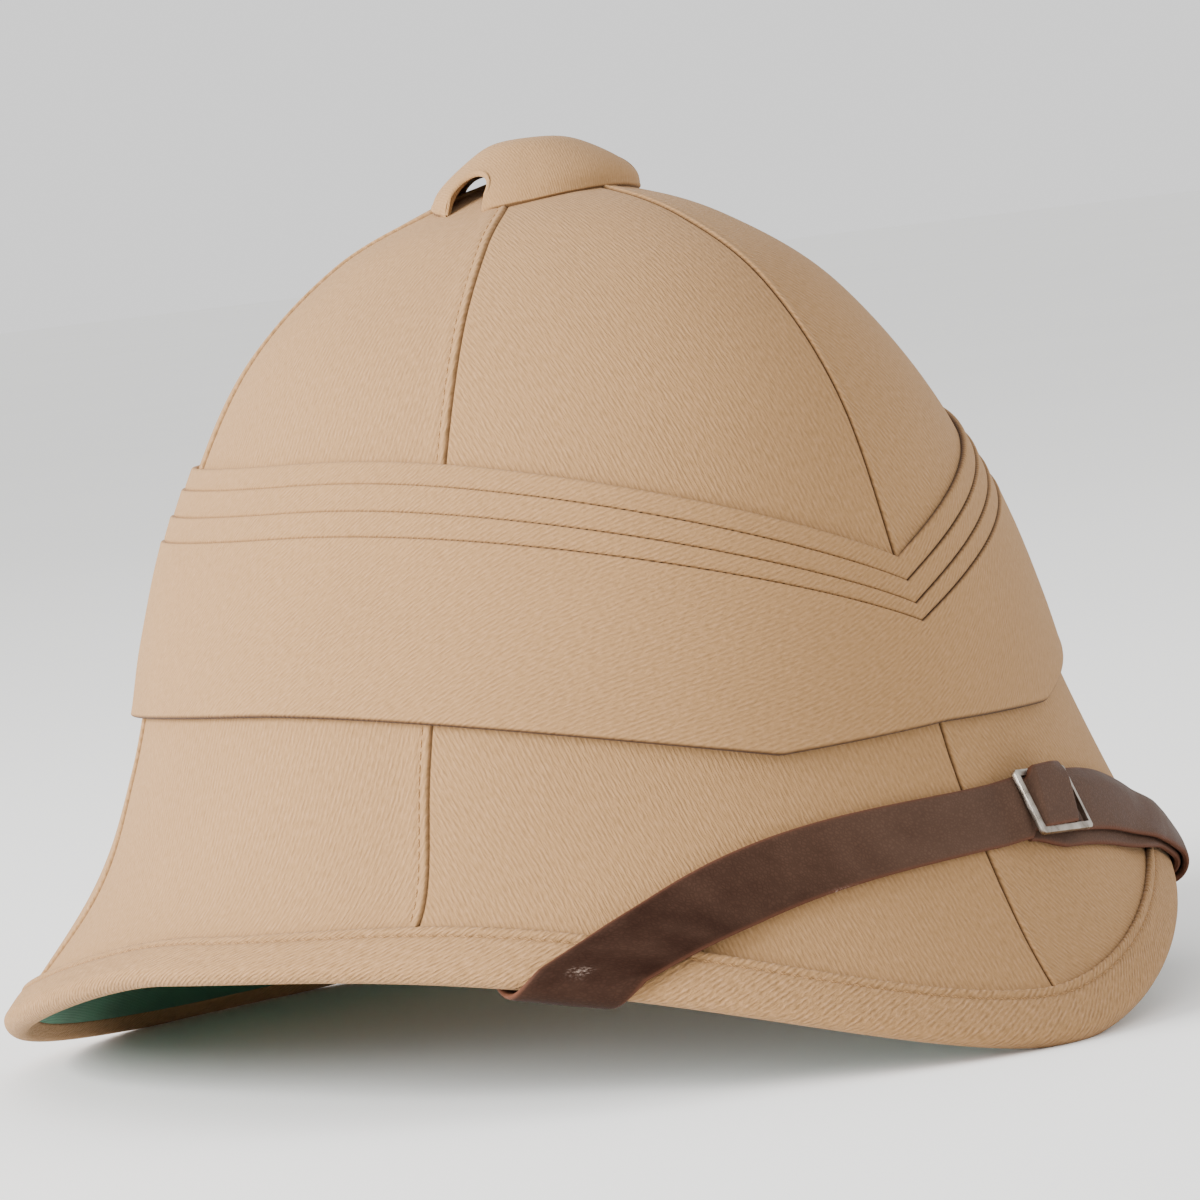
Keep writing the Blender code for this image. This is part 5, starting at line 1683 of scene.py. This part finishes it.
class HelmetColours(bpy.types.PropertyGroup):
    khaki: colour("Khaki", "Twill's middle tone", "#9C7850")
    khaki_light: colour("Khaki Light", "Face yarn of the twill", "#AD8660")
    khaki_gap: colour("Khaki Gap", "Gaps between the twill's wales", "#876642")
    # The crease colour is painted shade in the seams, the folds' lines, the binding's edges and the
    # cap's foot
    crease: colour("Crease", "Shadowed dust in seams and folds", "#452D18")
    thread: colour("Thread", "Sewing thread", "#A87E4E")
    thread_dark: colour("Thread Dark", "Between the thread's plies", "#7A572F")
    calico: colour("Calico", "Inside of the shell", "#AF906A")
    calico_dark: colour("Calico Dark", "Gaps in the calico", "#8A6E4A")
    green: colour("Green", "Brim lining", "#3E7F5E")
    green_dark: colour("Green Dark", "Gaps in the lining's weave", "#28563C")
    # Leather Light is the painted lit tone of the strap's front stretch, and Leather Deep its
    # painted shade towards the near end
    leather: colour("Leather", "Strap leather", "#48342A")
    leather_light: colour("Leather Light", "Rubbed leather", "#564136")
    leather_deep: colour("Leather Deep", "Darkest leather", "#271711")
    leather_edge: colour("Leather Edge", "Burnished edge", "#5B3A2C")
    leather_scuff: colour("Leather Scuff", "Pale scuffed spots", "#A08C80")
    steel: colour("Steel", "Buckle steel", "#ABA399")
    steel_worn: colour("Worn Steel", "Cloudier steel", "#7F766B")
    floor: colour("Floor", "Studio paper", "#FBFBF9")
    floor_shade: colour("Floor Shade", "Slightly duller paper", "#F8F8F6")


class HelmetStudio(bpy.types.PropertyGroup):
    floor_radius: number("Floor Radius", "Radius of the floor", 30.0, "LENGTH")
    room_light: number("Room Light", "Strength of the even light", 1.2)
    key_power: number("Key Power", "Power of the main softbox", 128.0, "POWER")
    fill_power: number("Fill Power", "Power of the fill softbox", 14.0, "POWER")
    top_power: number("Top Power", "Power of the overhead softbox", 2.0, "POWER")
    low_power: number("Low Power", "Power of the softbox that lights the brim", 12.0, "POWER")
    lens: number("Lens", "Focal length", 174.9, "CAMERA")
    camera_place: place("Camera Place", "Camera position over the settled helmet",
                        (-0.9635, -1.1289, 0.2022))
    camera_target: place("Camera Target", "Point that the camera looks at",
                         (0.0008, -0.0141, 0.1077))
    camera_roll: FloatProperty(name="Camera Roll", default=math.radians(6.83), subtype="ANGLE",
                               description="Turn of the camera about its own axis")


STEPS = ("panels", "pugaree", "binding", "lining", "stitching", "cap", "strap", "buckle", "stage")


class HELMET_PT_panel(bpy.types.Panel):
    """Buttons for each group of the helmet's pieces"""
    bl_idname = "HELMET_PT_panel"
    bl_label = "Pith Helmet"
    bl_space_type = "VIEW_3D"
    bl_region_type = "UI"
    bl_category = "Helmet"

    def draw(self, context):
        for step in STEPS:
            self.layout.operator(f"helmet.{step}")


CLASSES = (HelmetSizes, HelmetColours, HelmetStudio, HELMET_OT_panels, HELMET_OT_pugaree,
           HELMET_OT_binding, HELMET_OT_lining, HELMET_OT_stitching, HELMET_OT_cap,
           HELMET_OT_strap, HELMET_OT_buckle, HELMET_OT_stage, HELMET_PT_panel)


def register():
    for item in CLASSES:
        bpy.utils.register_class(item)
    bpy.types.Scene.helmet_sizes = PointerProperty(type=HelmetSizes)
    bpy.types.Scene.helmet_colours = PointerProperty(type=HelmetColours)
    bpy.types.Scene.helmet_studio = PointerProperty(type=HelmetStudio)


def unregister():
    del bpy.types.Scene.helmet_studio
    del bpy.types.Scene.helmet_colours
    del bpy.types.Scene.helmet_sizes
    for item in reversed(CLASSES):
        bpy.utils.unregister_class(item)


def main():
    register()
    for step in STEPS:
        getattr(bpy.ops.helmet, step)()


if __name__ == "__main__":
    main()
